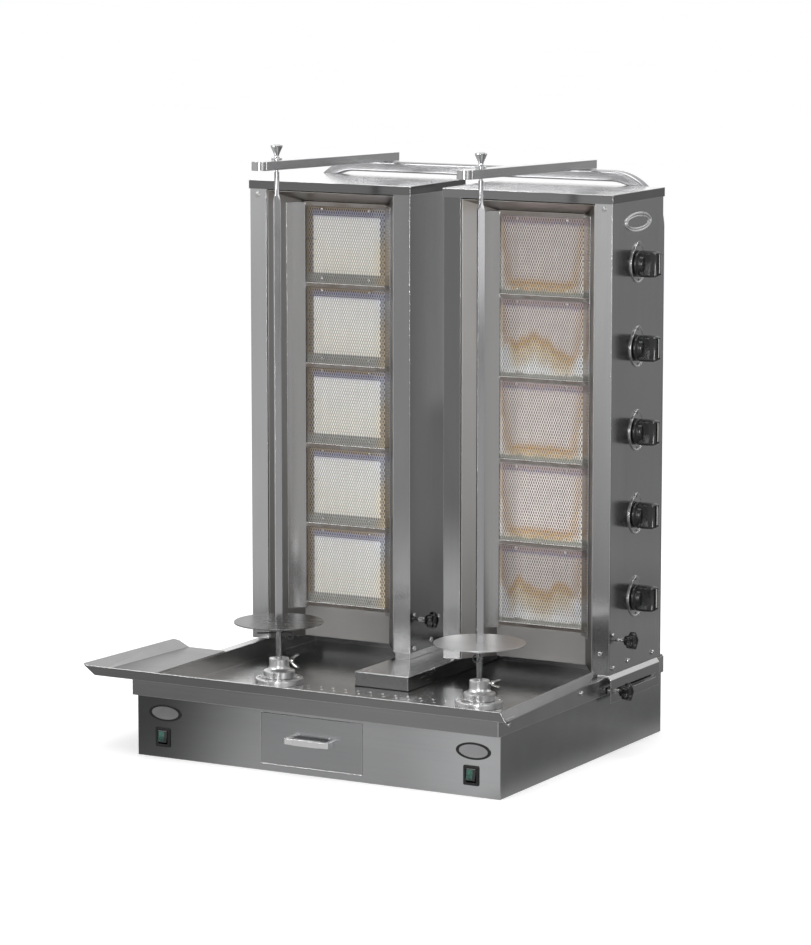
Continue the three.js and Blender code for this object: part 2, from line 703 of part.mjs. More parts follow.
// round skirt, tapered body and a finger grip, bored for the spindle; its axis is +X
function gasKnob() {
  // [radius, distance from the tower wall]
  const profile = [
    [0, 0], [KNOB_R, 0], [KNOB_R, 5], [KNOB_R - 1.5, 8], [17.5, 11], [16.5, 22], [0, 22],
  ].map(([r, out]) => new THREE.Vector2(r, out));
  const skirt = new THREE.LatheGeometry(profile, 20).rotateZ(-Math.PI / 2);
  const envelope = new THREE.CylinderGeometry(KNOB_R - 0.5, KNOB_R + 0.5, 90, 20);
  envelope.rotateZ(-Math.PI / 2);
  const gripHalf = KNOB_R - 1.5;
  const grip = box(8, 41, -6.5, 6.5, -gripHalf, gripHalf).intersect(solid(envelope));
  return cut(join(solid(skirt), grip), cylX(0, 0, -20.5, 19.5, 4.6, 12));
}

const CARRIAGE_BOTTOM = 142.9; // on the tray rim
const CARRIAGE_TOP = TOWER_BOTTOM - GAP;
const SKID_BOTTOM = COVER_TOP + 0.5; // on the channel cover
const CARRIAGE_BACK = TOWER_Y + 195;
const RUNNER_BACK = TOWER_Y + 197;

// plate across the rear half of a carriage
const crossPlate = (x0, x1) =>
  box(x0, x1, TOWER_Y + 120, CARRIAGE_BACK, CARRIAGE_BOTTOM, 144.6);
// runner or skid standing on the channel cover
const coverRunner = (x0, x1, front, back = CARRIAGE_BACK) =>
  box(x0, x1, TOWER_Y + front, back, SKID_BOTTOM, CARRIAGE_TOP);

function leftCarriage() {
  const runner = [-48, -36];
  const skid = [-34, -31.5]; // under the tower's right wall
  return join(
    box(-369.9, -356, TOWER_Y + 24, RUNNER_BACK, CARRIAGE_BOTTOM, CARRIAGE_TOP),
    crossPlate(-362, runner[1]),
    coverRunner(...runner, 34),
    coverRunner(...skid, 3),
    coverRunner(-62, skid[1], 3, TOWER_Y + 5), // skid turned in under the front flange
    crossPlate(-40, skid[1]),
  );
}

function rightCarriage() {
  // the outer runner is an angle that folds down over the skirt, slotted for the clamp stud
  const outer = 384;
  const inner = 356;
  const runner = [37.5, 43.5];
  const angleTop = CARRIAGE_TOP - 0.1;
  const angle = [
    [inner, CARRIAGE_BOTTOM], [outer - 6.5, CARRIAGE_BOTTOM], [outer - 1.6, 138.2],
    [outer - 1.6, 97.5], [outer, 97.5], [outer, 139.4], [outer - 5.9, angleTop],
    [inner, angleTop],
  ];
  const slot = box(374, 390, TOWER_Y + 7, TOWER_Y + 182, 113.6, 122.4);
  return join(
    cut(prismY(angle, TOWER_Y - 2.5, RUNNER_BACK), slot),
    crossPlate(runner[0], 362),
    coverRunner(...runner, 34),
  );
}

// five-lobed head on a neck, with a stud reaching studLength inwards; its axis is +X
function starKnob(studLength) {
  const lobes = repeat(30, (i) => {
    const angle = (2 * Math.PI * i) / 30;
    const r = 14.6 + 1.9 * Math.cos(5 * angle);
    return [r * Math.cos(angle), r * Math.sin(angle)];
  });
  return join(
    prismX(lobes, 22, 34),
    cylX(0, 0, 14, 23, 9, 16),
    cylX(0, 0, -studLength, 15, 4, 10),
  );
}

// ---------------------------------------------------------------- assembly
const broiler = new THREE.Group();

function addMesh(name, geometry, look) {
  const mesh = new THREE.Mesh(geometry, new THREE.MeshStandardMaterial(look));
  mesh.name = name;
  broiler.add(mesh);
}
const piece = (name, body, look) => addMesh(name, toGeometry(body), look);

piece("base_cabinet", baseCabinet(), STEEL);
piece("drip_tray", dripTray(), STEEL);
piece("catch_frame", catchFrame(), STEEL);
piece("centre_channel_cover", centreChannelCover(), STEEL);
piece("rear_frame", rearFrame(), STEEL);

for (const side of SIDES) {
  const axis = SPIT[side];
  piece(`spit_drive_${side}`, spitDrive(axis), ALU);
  piece(`spit_hub_${side}`, spitHub(axis), ALU);
  piece(`spit_${side}`, spit(axis, CLIP_YAW[side]), CHROME);
  piece(`spit_clip_${side}`, spitClip(axis, CLIP_YAW[side], CLIP_PATH[side]), IRON);
  piece(`meat_plate_${side}`, meatPlate(axis), STEEL);
}
for (const side of SIDES) {
  piece(`spit_arm_${side}`, spitArm(SPIT[side]), STEEL);
  piece(`lock_pin_${side}`, lockPin(SPIT[side]), CHROME);
}

piece("drawer_box", drawerBox(), STEEL);
piece("drawer_handle", drawerHandle(), CHROME);
for (const side of SIDES) piece(`rocker_${side}`, rocker(SWITCH_X[side]), GREEN);

for (const side of SIDES) {
  const tower = TOWERS[side];
  piece(`tower_casing_${side}`, towerCasing(tower), STEEL);
  piece(`tower_cap_${side}`, towerCap(tower), STEEL);
  piece(`tower_liner_${side}`, towerLiner(tower), STEEL);
  piece(`burner_guard_${side}`, burnerGuard(tower), STEEL_DARK);
  piece(`gas_manifold_${side}`, gasManifold(tower), BRASS);
  for (let i = 0; i < BURNERS; i++) {
    const body = burner(tower, BURNER_TOP_Z - BURNER_PITCH * i);
    piece(`burner_${side}_${i + 1}`, body, CERAMIC);
  }
  for (let i = 0; i < BURNERS; i++) {
    const knob = toGeometry(gasKnob());
    if (tower.knobSide < 0) knob.rotateZ(Math.PI);
    knob.translate(acrossX(tower, TOWER_HALF_W + 1.6), KNOB_Y, valveZ(i));
    addMesh(`gas_knob_${side}_${i + 1}`, knob, BLACK);
  }
  piece(`tower_carriage_${side}`, side === "left" ? leftCarriage() : rightCarriage(), STEEL);

  // on the right side wall of each tower
  const clamp = toGeometry(starKnob(10));
  clamp.translate(tower.x + TOWER_HALF_W + 1, TOWER_CLAMP.y, TOWER_CLAMP.z);
  addMesh(`tower_clamp_knob_${side}`, clamp, BLACK);
}

// through the slot of the right carriage's angle
const slideClamp = toGeometry(starKnob(24));
slideClamp.translate(SKIRT_X + 11, SLIDE_CLAMP.y, SLIDE_CLAMP.z);
addMesh("slide_clamp_knob_right", slideClamp, BLACK);

export default broiler;
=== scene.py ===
"""Double vertical rotisserie broiler: detailed parts and finishes built round the CAD frame.

The frame is in metres with +Z up. The front faces -Y and the two towers stand side by side
along X behind two upright spits. Sizes here are in millimetres; shader values are in metres.
"""

import math

import bmesh
import bpy
from mathutils import Matrix, Vector

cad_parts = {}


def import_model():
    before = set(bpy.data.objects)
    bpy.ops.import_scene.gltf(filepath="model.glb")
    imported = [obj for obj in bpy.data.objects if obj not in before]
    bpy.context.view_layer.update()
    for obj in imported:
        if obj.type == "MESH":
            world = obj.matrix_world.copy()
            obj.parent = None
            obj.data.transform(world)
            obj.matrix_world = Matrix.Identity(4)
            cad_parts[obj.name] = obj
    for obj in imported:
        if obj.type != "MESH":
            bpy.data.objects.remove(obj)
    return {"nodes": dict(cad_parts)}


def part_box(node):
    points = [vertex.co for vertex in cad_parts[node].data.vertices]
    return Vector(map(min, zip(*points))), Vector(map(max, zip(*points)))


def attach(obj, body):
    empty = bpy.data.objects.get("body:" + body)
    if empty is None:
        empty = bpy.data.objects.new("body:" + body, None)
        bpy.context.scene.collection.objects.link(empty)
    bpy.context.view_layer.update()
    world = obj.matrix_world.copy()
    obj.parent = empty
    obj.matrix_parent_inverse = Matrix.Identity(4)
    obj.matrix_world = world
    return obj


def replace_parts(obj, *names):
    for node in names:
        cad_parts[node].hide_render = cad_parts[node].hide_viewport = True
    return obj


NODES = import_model()["nodes"]
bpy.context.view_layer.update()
MM = 0.001
SIDES = ("left", "right")
OUTWARD = {"left": -1, "right": 1}  # X direction away from the middle


# ------------------------------------------------------------------ places read from the frame
def box_mm(node):
    low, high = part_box(node)
    return [c / MM for c in low], [c / MM for c in high]


def centre_mm(node):
    low, high = box_mm(node)
    return [(a + b) / 2 for a, b in zip(low, high)]


def hub_centre(side):
    return centre_mm(f"spit_hub_{side}")


CASING = {side: box_mm(f"tower_casing_{side}") for side in SIDES}
TOWER_X = {side: centre_mm(f"tower_casing_{side}")[0] for side in SIDES}
TOWER_FRONT = {side: CASING[side][0][1] for side in SIDES}
OUTER_WALL = {"left": CASING["left"][0][0], "right": CASING["right"][1][0]}
LEFT_INNER_WALL = CASING["left"][1][0]
CABINET_FRONT = box_mm("base_cabinet")[0][1]
TRAY_LOW, TRAY_HIGH = box_mm("drip_tray")

BURNERS = range(1, 6)  # numbered from the top
TOP_BURNER_Z = 888.5
BURNER_PITCH = 150.5
SCREEN_Y = TOWER_FRONT["left"] + 58.9
HUB_SEAT_Z = 119.5  # top of the bearing flanges


# ------------------------------------------------------------------ shader tree helpers
class Value:
    """Output socket of a shader node; arithmetic on it adds math nodes."""

    def __init__(self, net, socket):
        self.net = net
        self.socket = socket

    def __add__(self, other):
        return self.net.math("ADD", self, other)

    def __radd__(self, other):
        return self.net.math("ADD", other, self)

    def __sub__(self, other):
        return self.net.math("SUBTRACT", self, other)

    def __rsub__(self, other):
        return self.net.math("SUBTRACT", other, self)

    def __mul__(self, other):
        return self.net.math("MULTIPLY", self, other)

    def __truediv__(self, other):
        return self.net.math("DIVIDE", self, other)

    def __abs__(self):
        return self.net.math("ABSOLUTE", self)

    def fit(self, start, end, low, high, clamp=True):
        """Straight map of start..end to low..high."""
        inputs = dict(enumerate((self, start, end, low, high)))
        return self.net.value("ShaderNodeMapRange", inputs, clamp=clamp)

    def between(self, low, high):
        """Straight map of 0..1 to low..high."""
        return self.fit(0.0, 1.0, low, high)

    def step(self, start, end):
        """Smooth step from 0 at start to 1 at end; it falls where end is below start."""
        inputs = dict(enumerate((self, start, end, 0.0, 1.0)))
        return self.net.value("ShaderNodeMapRange", inputs, interpolation_type="SMOOTHSTEP")

    def toward(self, colour, amount):
        """This colour blended to another by an amount from 0 to 1."""
        return self.net.mix(amount, self, colour)

    def where(self, mask, factor):
        """This colour scaled by a factor inside a mask."""
        return self.net.shade(self, mask.between(1.0, factor))


class Net:
    """An emptied node tree and the nodes added to it."""

    def __init__(self, tree):
        self.tree = tree
        tree.nodes.clear()

    def put(self, value, socket):
        if isinstance(value, Value):
            self.tree.links.new(value.socket, socket)
        elif value is not None:
            socket.default_value = value

    def node(self, kind, inputs=None, **props):
        node = self.tree.nodes.new(kind)
        for key, prop in props.items():
            setattr(node, key, prop)
        for key, value in (inputs or {}).items():
            self.put(value, node.inputs[key])
        return node

    def value(self, kind, inputs=None, output=0, **props):
        return Value(self, self.node(kind, inputs, **props).outputs[output])

    def math(self, operation, *terms, clamp=False):
        inputs = dict(enumerate((*terms, 0.0, 0.0)[:3]))
        return self.value("ShaderNodeMath", inputs, operation=operation, use_clamp=clamp)

    def vector(self, operation, first, second=None, output="Vector"):
        inputs = {0: first, 1: second}
        return self.value("ShaderNodeVectorMath", inputs, output, operation=operation)

    def coord(self):
        return self.value("ShaderNodeTexCoord", output="Object")

    def scaled(self, scale):
        return self.value("ShaderNodeMapping", {"Vector": self.coord(), "Scale": scale})

    def face_normal(self):
        return self.value("ShaderNodeNewGeometry", output="Normal")

    def xyz(self, vector=None):
        source = self.coord() if vector is None else vector
        node = self.node("ShaderNodeSeparateXYZ", {0: source})
        return [Value(self, socket) for socket in node.outputs]

    def light_path(self):
        """Masks of the camera rays and the mirror rays."""
        rays = self.node("ShaderNodeLightPath").outputs
        return Value(self, rays["Is Camera Ray"]), Value(self, rays["Is Glossy Ray"])

    def noise(self, vector=None, scale=1.0, detail=3.0, rough=0.5, distortion=0.0):
        inputs = {
            "Vector": self.coord() if vector is None else vector,
            "Scale": scale,
            "Detail": detail,
            "Roughness": rough,
            "Distortion": distortion,
        }
        return self.value("ShaderNodeTexNoise", inputs, "Fac")

    def mix(self, amount, first, second, blend="MIX"):
        inputs = {0: amount}
        for index, colour in ((6, first), (7, second)):
            inputs[index] = colour if isinstance(colour, Value) else (*colour, 1.0)
        return self.value("ShaderNodeMix", inputs, 2, data_type="RGBA", blend_type=blend)

    def grey(self, level):
        return self.value("ShaderNodeCombineColor", {i: level for i in range(3)})

    def shade(self, colour, factor):
        return self.mix(1.0, colour, self.grey(factor), "MULTIPLY")


class Surface(Net):
    """A material with one principled shader."""

    def __init__(self, name):
        self.material = bpy.data.materials.new(name)
        self.material.use_nodes = True
        super().__init__(self.material.node_tree)
        output = self.node("ShaderNodeOutputMaterial")
        self.shader = self.node("ShaderNodeBsdfPrincipled")
        self.tree.links.new(self.shader.outputs[0], output.inputs[0])

    def set(self, **values):
        for key, value in values.items():
            self.put(value, self.shader.inputs[key.replace("_", " ")])

    def bevel(self, radius, samples=4):
        if not radius:
            return None
        return self.value("ShaderNodeBevel", {"Radius": radius}, samples=samples)

    def bump(self, height, strength, distance, normal=None):
        inputs = {
            "Strength": strength,
            "Distance": distance,
            "Height": height,
            "Normal": normal,
        }
        self.set(Normal=self.value("ShaderNodeBump", inputs))


# ------------------------------------------------------------------ general finishes
# vector crossed with the face normal for the sheen; slightly skewed so it is never parallel
GRAIN_AXIS = {
    "x": (1.0, 0.013, 0.017),
    "y": (0.013, 1.0, 0.017),
    "z": (0.013, 0.017, 1.0),
}


def stretched(grain, along, across):
    """Noise scale per metre along and across the brushing."""
    return tuple(along if axis == grain else across for axis in "xyz")


def steel(
    name,
    grain,
    base,
    rough,
    bevel=0.0015,
    streak=0.022,
    aniso=0.45,
    cloud=0.055,
    tint_and_painted_light=None,
    # strength and colour of the painted highlight on the folds
    edge=0.75,
    bright=(0.93, 0.93, 0.93),
):
    """Satin stainless sheet: fine grain in one direction, faint clouding, painted highlights on
    the folds.
    """
    net = Surface(name)
    fine = net.noise(net.scaled(stretched(grain, 5.0, 700.0)), detail=2.0, rough=0.6)
    broad = net.noise(net.scaled(stretched(grain, 1.1, 154.0)), detail=2.0)
    haze = net.noise(net.scaled(stretched(grain, 2.2, 9.0)), rough=0.55, distortion=0.5)
    smear = net.noise(net.scaled(stretched(grain, 7.0, 22.0)), rough=0.6, distortion=0.6)
    level = fine.fit(0.25, 0.75, 1.0 - streak, 1.0 + streak, clamp=False)
    level *= broad.fit(0.25, 0.75, 1.0 - 0.6 * streak, 1.0 + 0.6 * streak, clamp=False)
    level *= haze.fit(0.3, 0.7, 1.0 - cloud, 1.0 + 0.8 * cloud, clamp=False)
    colour = net.shade(base, level)
    # the tint is a heat colour on some pieces and painted light and shade on most
    if tint_and_painted_light:
        colour = tint_and_painted_light(net, colour)

    # folds are where the bevelled normal turns from the true one; their colour is lifted there as
    # a painted highlight
    soft = net.bevel(bevel, samples=6)
    turn = net.vector("DOT_PRODUCT", soft, net.face_normal(), output="Value")
    fold_highlight = turn.step(0.998, 0.90) * edge
    colour = colour.toward(bright, fold_highlight)
    gloss = fine.fit(0.2, 0.8, rough - 0.02, rough + 0.02, clamp=False)
    gloss += smear.fit(0.42, 0.75, 0.0, 0.04)
    net.set(Base_Color=colour, Metallic=1.0, Roughness=gloss)
    net.bump(fine + broad * 0.6, strength=0.035, distance=0.0001, normal=soft)
    tangent = net.vector("CROSS_PRODUCT", net.face_normal(), GRAIN_AXIS[grain])
    net.set(Tangent=net.vector("NORMALIZE", tangent), Anisotropic=aniso)
    return net.material


def polished(name, base, rough, bevel=0.0006, rings=None, vary=0.05):
    """Polished metal; rings=(x, y) in metres puts fine lathe rings round a vertical axis."""
    net = Surface(name)
    grain = net.noise(scale=420.0, rough=0.6)
    haze = net.noise(scale=24.0, distortion=0.5)
    height = grain
    if rings:
        x, y, z = net.xyz()
        across = x - rings[0]
        back = y - rings[1]
        radius = net.math("SQRT", across * across + back * back)
        path = net.vector("MULTIPLY", net.grey(radius + z), (1.0, 1.0, 1.0))
        turned = net.noise(path, scale=900.0, detail=2.0)
        height = turned * 0.8 + grain * 0.2
    level = haze.fit(0.3, 0.7, 1 - vary, 1 + vary, clamp=False)
    level *= grain.fit(0.3, 0.7, 1 - 0.4 * vary, 1 + 0.4 * vary, clamp=False)
    net.set(
        Base_Color=net.shade(base, level),
        Metallic=1.0,
        Roughness=haze.fit(0.3, 0.75, rough * 0.8, rough * 1.5, clamp=False),
    )
    net.bump(height, strength=0.08, distance=0.00008, normal=net.bevel(bevel))
    return net.material


def plastic(name, base, rough, bevel=0.0007, coat=0.4):
    """Moulded plastic with faint cloudy wear."""
    net = Surface(name)
    fine = net.noise(scale=900.0, rough=0.6)
    haze = net.noise(scale=45.0, detail=4.0, rough=0.6, distortion=0.6)
    net.set(
        Base_Color=net.shade(base, haze.fit(0.3, 0.7, 0.91, 1.12, clamp=False)),
        Roughness=haze.fit(0.35, 0.75, rough, rough + 0.12, clamp=False),
        Coat_Weight=coat,
        Coat_Roughness=0.08,
    )
    net.bump(fine, strength=0.06, distance=0.00006, normal=net.bevel(bevel))
    return net.material


# ------------------------------------------------------------------ tints, painted light and painted shade laid over the steel
def soffit_tint(net, colour):
    """Patchy brown at the top and a faint warm grey near the foot."""
    height = net.xyz()[2]
    patches = net.noise(scale=9.0, rough=0.6, distortion=0.5).fit
    top = height.step(0.955, 0.985)
    warm = net.math("MULTIPLY", top, patches(0.3, 0.7, 0.5, 1.0), clamp=True)
    colour = colour.toward((0.34, 0.29, 0.24), warm * 0.6)
    foot = height.step(0.42, 0.17) * 0.22
    return colour.toward((0.42, 0.39, 0.36), foot)


def casing_painted_light_and_shade(net, colour):
    """Painted light and shade: the front flanges are lit and shaded differently from the side
    walls.
    """
    x, y, z = net.xyz()
    face = 1.0 - y.step(0.0806, 0.0828)
    # flanges next to the middle, painted light low down and painted shade high up: the right
    # tower's in full, the left tower's at 0.6
    middle = x.step(-0.02, 0.03) * x.step(0.20, 0.10)
    middle += x.step(-0.10, -0.07) * x.step(-0.01, -0.025) * 0.6
    right = x.step(0.30, 0.34)
    rise = z.step(0.15, 0.98)
    level = 1.14 + middle * z.step(0.18, 0.45).between(0.34, -0.69)
    # leftmost flange: painted light, brighter at its top and foot
    ends = z.step(0.75, 0.98).between(0.0, 0.14) + z.step(0.35, 0.16).between(0.0, 0.07)
    level += x.step(-0.30, -0.34) * (0.11 + ends)
    # rightmost flange: painted shade at the foot, painted light at the top
    level += right * rise.between(-0.56, 0.24)
    level = 1.0 + (level - 1.0) * face
    # right wall of the left tower: painted shade low down, painted light high up towards the back
    wall = (1.0 - face) * (x.step(-0.032, -0.0305) * x.step(-0.02, -0.028))
    level *= 1.0 - wall * z.step(0.42, 0.17).between(0.2, 0.55)
    lit = wall * (z.step(0.57, 0.63) * y.step(0.09, 0.24).between(0.0, 0.65))
    level *= 1.0 + lit
    return net.shade(colour, level)


def cap_painted_shade(net, colour):
    """Painted shade: darker below the top skin, more so left of the middle."""
    x, y, z = net.xyz()
    below = z.step(1.0079, 1.0072)
    return colour.where(below, 0.40).where(below * x.step(0.0, -0.01), 0.73)


def arm_painted_shade(net, colour):
    """Painted shade: darker towards the front."""
    return colour.where(net.xyz()[1].step(0.32, -0.15), 0.72)


def tray_painted_shade(net, colour):
    """Painted shade on the front and right outer walls, less on the right one, a painted shadow on
    the floor towards the back, and a dark painted shadow of a slot on the right.
    """
    x, y, z = net.xyz()
    right_edge = (0.3690, 0.3700)  # x where the right wall begins
    outer = net.math("MAXIMUM", y.step(-0.3275, -0.3290), x.step(*right_edge))
    # painted shadow of a slot on the right wall
    slot_shadow_area = y.step(0.078, 0.084) * y.step(0.272, 0.266) * z.step(0.126, 0.124)
    slot = x.step(*right_edge) * slot_shadow_area
    right = x.step(*right_edge)
    back = (1.0 - outer) * y.step(-0.01, 0.11)
    colour = colour.where(outer, 0.51).where(right, 1.70)
    return colour.where(back, 0.58).where(slot, 0.12)


def catch_painted_shade(net, colour):
    """Painted shade on the front face, and a darker painted shadow low at the left end just behind
    it.
    """
    x, y, z = net.xyz()
    colour = colour.where(y.step(-0.3300, -0.3312), 0.56)
    behind = x.step(-0.352, -0.354) * y.step(-0.3312, -0.3300)
    return colour.where(z.step(0.14455, 0.14430) * behind, 0.30)


def cover_painted_shade(net, colour):
    """Painted shade: dark below the top skin."""
    return colour.where(net.xyz()[2].step(0.1352, 0.1345), 0.29)


def liner_painted_light_and_shade(net, colour):
    """Painted light and shade: each wall is toned by the way it faces, over the soffit tint."""
    x, y, z = net.xyz()
    colour = soffit_tint(net, colour)
    facing = net.xyz(net.face_normal())[0]
    front = x.step(0.0, 0.02) * y.step(0.135, 0.10)  # front of the right tower
    colour = colour.where(facing.step(0.5, 0.7), 0.62)
    colour = colour.where(facing.step(0.5, 0.7) * front, 2.3)
    colour = colour.where(facing.step(-0.5, -0.7), 0.51)
    return colour.where(z.step(0.24, 0.18), 0.95)


def carriage_painted_light_and_shade(net, colour):
    """Painted highlight on the top edge at the right end and painted shade on the rightmost face.
    """
    x, y, z = net.xyz()
    top = z.step(0.1385, 0.1395) * x.step(0.3775, 0.3785)
    return colour.where(x.step(0.3832, 0.3838), 0.7).toward((1.0, 1.0, 1.0), top)


def cabinet_painted_light_and_shade(net, colour):
    """Painted shade and light: the front face is dark at the left end and bright at the right."""
    x, y, z = net.xyz()
    face = y.step(-0.312, -0.315)
    level = x.step(-0.33, -0.10).between(0.31, 1.0) + x.step(0.15, 0.34).between(0.0, 0.36)
    return net.shade(colour, 1.0 + (level - 1.0) * face)


def guard_tint(net, colour):
    """Patchy brown heat colour on the bars at the back."""
    patches = net.noise(scale=16.0, detail=4.0, rough=0.6, distortion=0.8)
    bars = net.xyz()[1].step(0.1352, 0.1356)
    return colour.toward((0.25, 0.20, 0.16), bars * patches.fit(0.35, 0.65, 0.35, 0.85))


# ------------------------------------------------------------------ rocker and burner materials
def rocker_material():
    """Black rocker with a dark green lens in its left half."""
    net = Surface("green_rocker")
    grain = net.noise(scale=260.0)
    x, y, z = net.xyz()
    middle = centre_mm("rocker_left")[2] * MM
    lens_offset = 0.0024
    from_left = abs(x - (centre_mm("rocker_left")[0] * MM - lens_offset))
    from_right = abs(x - (centre_mm("rocker_right")[0] * MM - lens_offset))
    across = net.math("MINIMUM", from_left, from_right)
    inside = across.step(0.0062, 0.0054) * abs(z - middle).step(0.0092, 0.0084)
    rise = z.step(middle - 0.009, middle + 0.009)
    green = net.mix(rise, (0.006, 0.028, 0.022), (0.018, 0.085, 0.063))
    green = green.toward((0.05, 0.17, 0.13), grain.fit(0.4, 0.75, 0.0, 0.5))
    net.set(
        Base_Color=net.mix(inside, (0.012, 0.012, 0.013), green),
        Roughness=0.2,
        Coat_Weight=0.6,
        Coat_Roughness=0.06,
    )
    net.bump(grain, strength=0.05, distance=0.00005, normal=net.bevel(0.0008))
    return net.material


def burner_metal(side):
    """Heat tinted pan: blue and straw colours run in from the edges of each burner."""
    net = Surface(f"burner_pan_{side}")
    x, y, z = net.xyz()
    across = abs(x - TOWER_X[side] * MM)
    top_centre = centre_mm(f"burner_{side}_1")[2] * MM
    phase = (z - top_centre) / (BURNER_PITCH * MM)
    height = (phase - net.math("ROUND", phase)) * (BURNER_PITCH * MM)  # from own centre
    patches = net.noise(scale=38.0, rough=0.6, distortion=0.5)
    jitter = patches.fit(0.3, 0.7, -0.004, 0.004, clamp=False)
    edge = net.math("MAXIMUM", across - 0.070, abs(height) - 0.054) + jitter
    colour = net.mix(edge.step(-0.002, 0.004), (0.20, 0.195, 0.19), (0.12, 0.12, 0.19))
    colour = colour.toward((0.16, 0.11, 0.07), edge.step(0.005, 0.011))
    foot = height.step(-0.048, -0.058)
    colour = colour.toward((0.27, 0.265, 0.245), foot * 0.85)
    fine = net.noise(net.scaled(stretched("x", 5.0, 700.0)), detail=2.0)
    net.set(
        Base_Color=net.shade(colour, fine.fit(0.25, 0.75, 0.85, 1.15, clamp=False)),
        Metallic=1.0,
        Roughness=patches.fit(0.3, 0.7, 0.26, 0.4, clamp=False),
    )
    net.bump(fine, strength=0.12, distance=0.0001, normal=net.bevel(0.001))
    return net.material


# top, foot and patch colours, and a painted glow
CERAMIC = {
    "left": ((0.97, 0.97, 0.98), (0.97, 0.955, 0.90), (0.93, 0.86, 0.74), 0.18),
    "right": ((0.11, 0.095, 0.092), (0.12, 0.10, 0.09), (0.15, 0.10, 0.07), 0.0),
}


def ceramic(side):
    """Perforated ceramic tile, warmer towards its foot, with a painted glow that brightens it on
    the left.
    """
    top, foot, warm, painted_glow = CERAMIC[side]
    net = Surface(f"burner_tile_{side}")
    z = net.xyz()[2]
    grid = {"Vector": net.scaled((1.0, 0.0, 1.0)), "Scale": 420.0, "Randomness": 0.0}
    solid = net.value("ShaderNodeTexVoronoi", grid, "Distance").step(0.18, 0.30)
    patches = net.noise(scale=15.0, detail=4.0, rough=0.6, distortion=0.6)
    colour = net.mix(z.step(0.04, -0.045), top, foot)
    colour = colour.toward(warm, patches.fit(0.48, 0.78, 0.0, 0.5))
    # painted shade in the holes
    colour = colour.toward((0.28, 0.24, 0.20), (1.0 - solid) * 0.45)
    net.set(Base_Color=colour, Roughness=0.9, Specular_IOR_Level=0.2)
    # painted glow: the tile emits its own colour to look brighter
    net.set(Emission_Color=colour, Emission_Strength=painted_glow)
    height = solid * 1.5 + net.noise(scale=800.0, rough=0.6)
    net.bump(height, strength=0.35, distance=0.0004)
    return net.material


def left_screen_colour(net, x, z, jitter, wave):
    """Blue then brown at the top, brown at the left, straw at the lower right."""
    colour = net.mix((z + jitter).step(0.046, 0.056), (0.50, 0.485, 0.455), (0.42, 0.41, 0.48))
    colour = colour.toward((0.40, 0.33, 0.26), (z + jitter).step(0.062, 0.068))
    colour = colour.toward((0.36, 0.31, 0.25), (x + jitter).step(-0.066, -0.074))
    colour = colour.toward((0.42, 0.42, 0.40), (z + jitter).step(-0.053, -0.060) * 0.85)
    warm = (x + wave * 0.05).step(0.055, 0.078) * z.step(0.04, -0.02)
    colour = colour.toward((0.70, 0.54, 0.34), warm * 0.6)
    cool = x.step(0.052, 0.070) * z.step(0.0, 0.05)
    return colour.toward((0.62, 0.64, 0.74), cool * 0.4)


def right_screen_colour(net, x, z, jitter, wave, row):
    """A straw line runs in from the upper corners and crosses low down; bright outside it."""
    # height of the crossing, different for every burner
    swing = net.math("SINE", row * 1.9).fit(0.2, 1.0, 0.03, 0.16)
    crossing = -0.050 + wave * swing
    crossing += net.math("SINE", row * 1.6).fit(0.3, 1.0, 0.0, 0.040)
    crossing += row.step(3.4, 3.9) * 0.048
    # distance outside the line
    slant = abs(x) + z * -0.13
    outside = (slant - 0.0735) + jitter
    outside = net.math("MAXIMUM", outside, (crossing - z) + jitter)
    band = outside.step(-0.014, 0.002) * outside.step(0.020, 0.003)
    band *= abs(x).step(0.060, 0.068).between(1.0, 0.6)
    colour = net.mix(outside.step(0.001, 0.008), (0.80, 0.73, 0.71), (0.95, 0.95, 0.96))
    halo = outside.step(0.0, 0.012) * outside.step(0.06, 0.02)
    colour = colour.toward((0.74, 0.58, 0.36), halo * (abs(x).step(0.075, 0.05) * 0.75))
    colour = colour.toward((0.64, 0.42, 0.20), band * 0.8)
    colour = colour.toward((0.46, 0.38, 0.40), (z + jitter).step(0.054, 0.060) * 0.8)
    colour = colour.toward((0.44, 0.44, 0.40), (z + jitter).step(-0.061, -0.066))
    # painted shade: the lowest screen is darker
    return colour.where(row.step(3.3, 3.9), 0.70)


def screen_material(side):
    """Expanded stainless screen with heat colours along the edges of the burner behind it."""
    net = Surface(f"burner_screen_{side}")
    x, y, z = net.xyz()
    grain = net.noise(scale=60.0, rough=0.6)
    jitter = grain.fit(0.3, 0.7, -0.003, 0.003, clamp=False)
    place = net.value("ShaderNodeObjectInfo", output="Location")
    # 0 to 4 down the tower
    row = (TOP_BURNER_Z * MM - net.xyz(place)[2]) / (BURNER_PITCH * MM)
    # wanders along x, different for every burner
    track = net.value("ShaderNodeCombineXYZ", {0: x * 14.0, 1: row * 3.7})
    wave = net.noise(track, detail=2.0) - 0.5
    if side == "left":
        colour = left_screen_colour(net, x, z, jitter, wave)
    else:
        colour = right_screen_colour(net, x, z, jitter, wave, row)
    net.set(
        Base_Color=net.shade(colour, grain.fit(0.3, 0.7, 0.92, 1.08, clamp=False)),
        Metallic=0.6 if side == "right" else 0.75,
        Roughness=0.3,
    )
    net.bump(net.noise(scale=700.0, detail=2.0), strength=0.12, distance=0.0001)
    return net.material


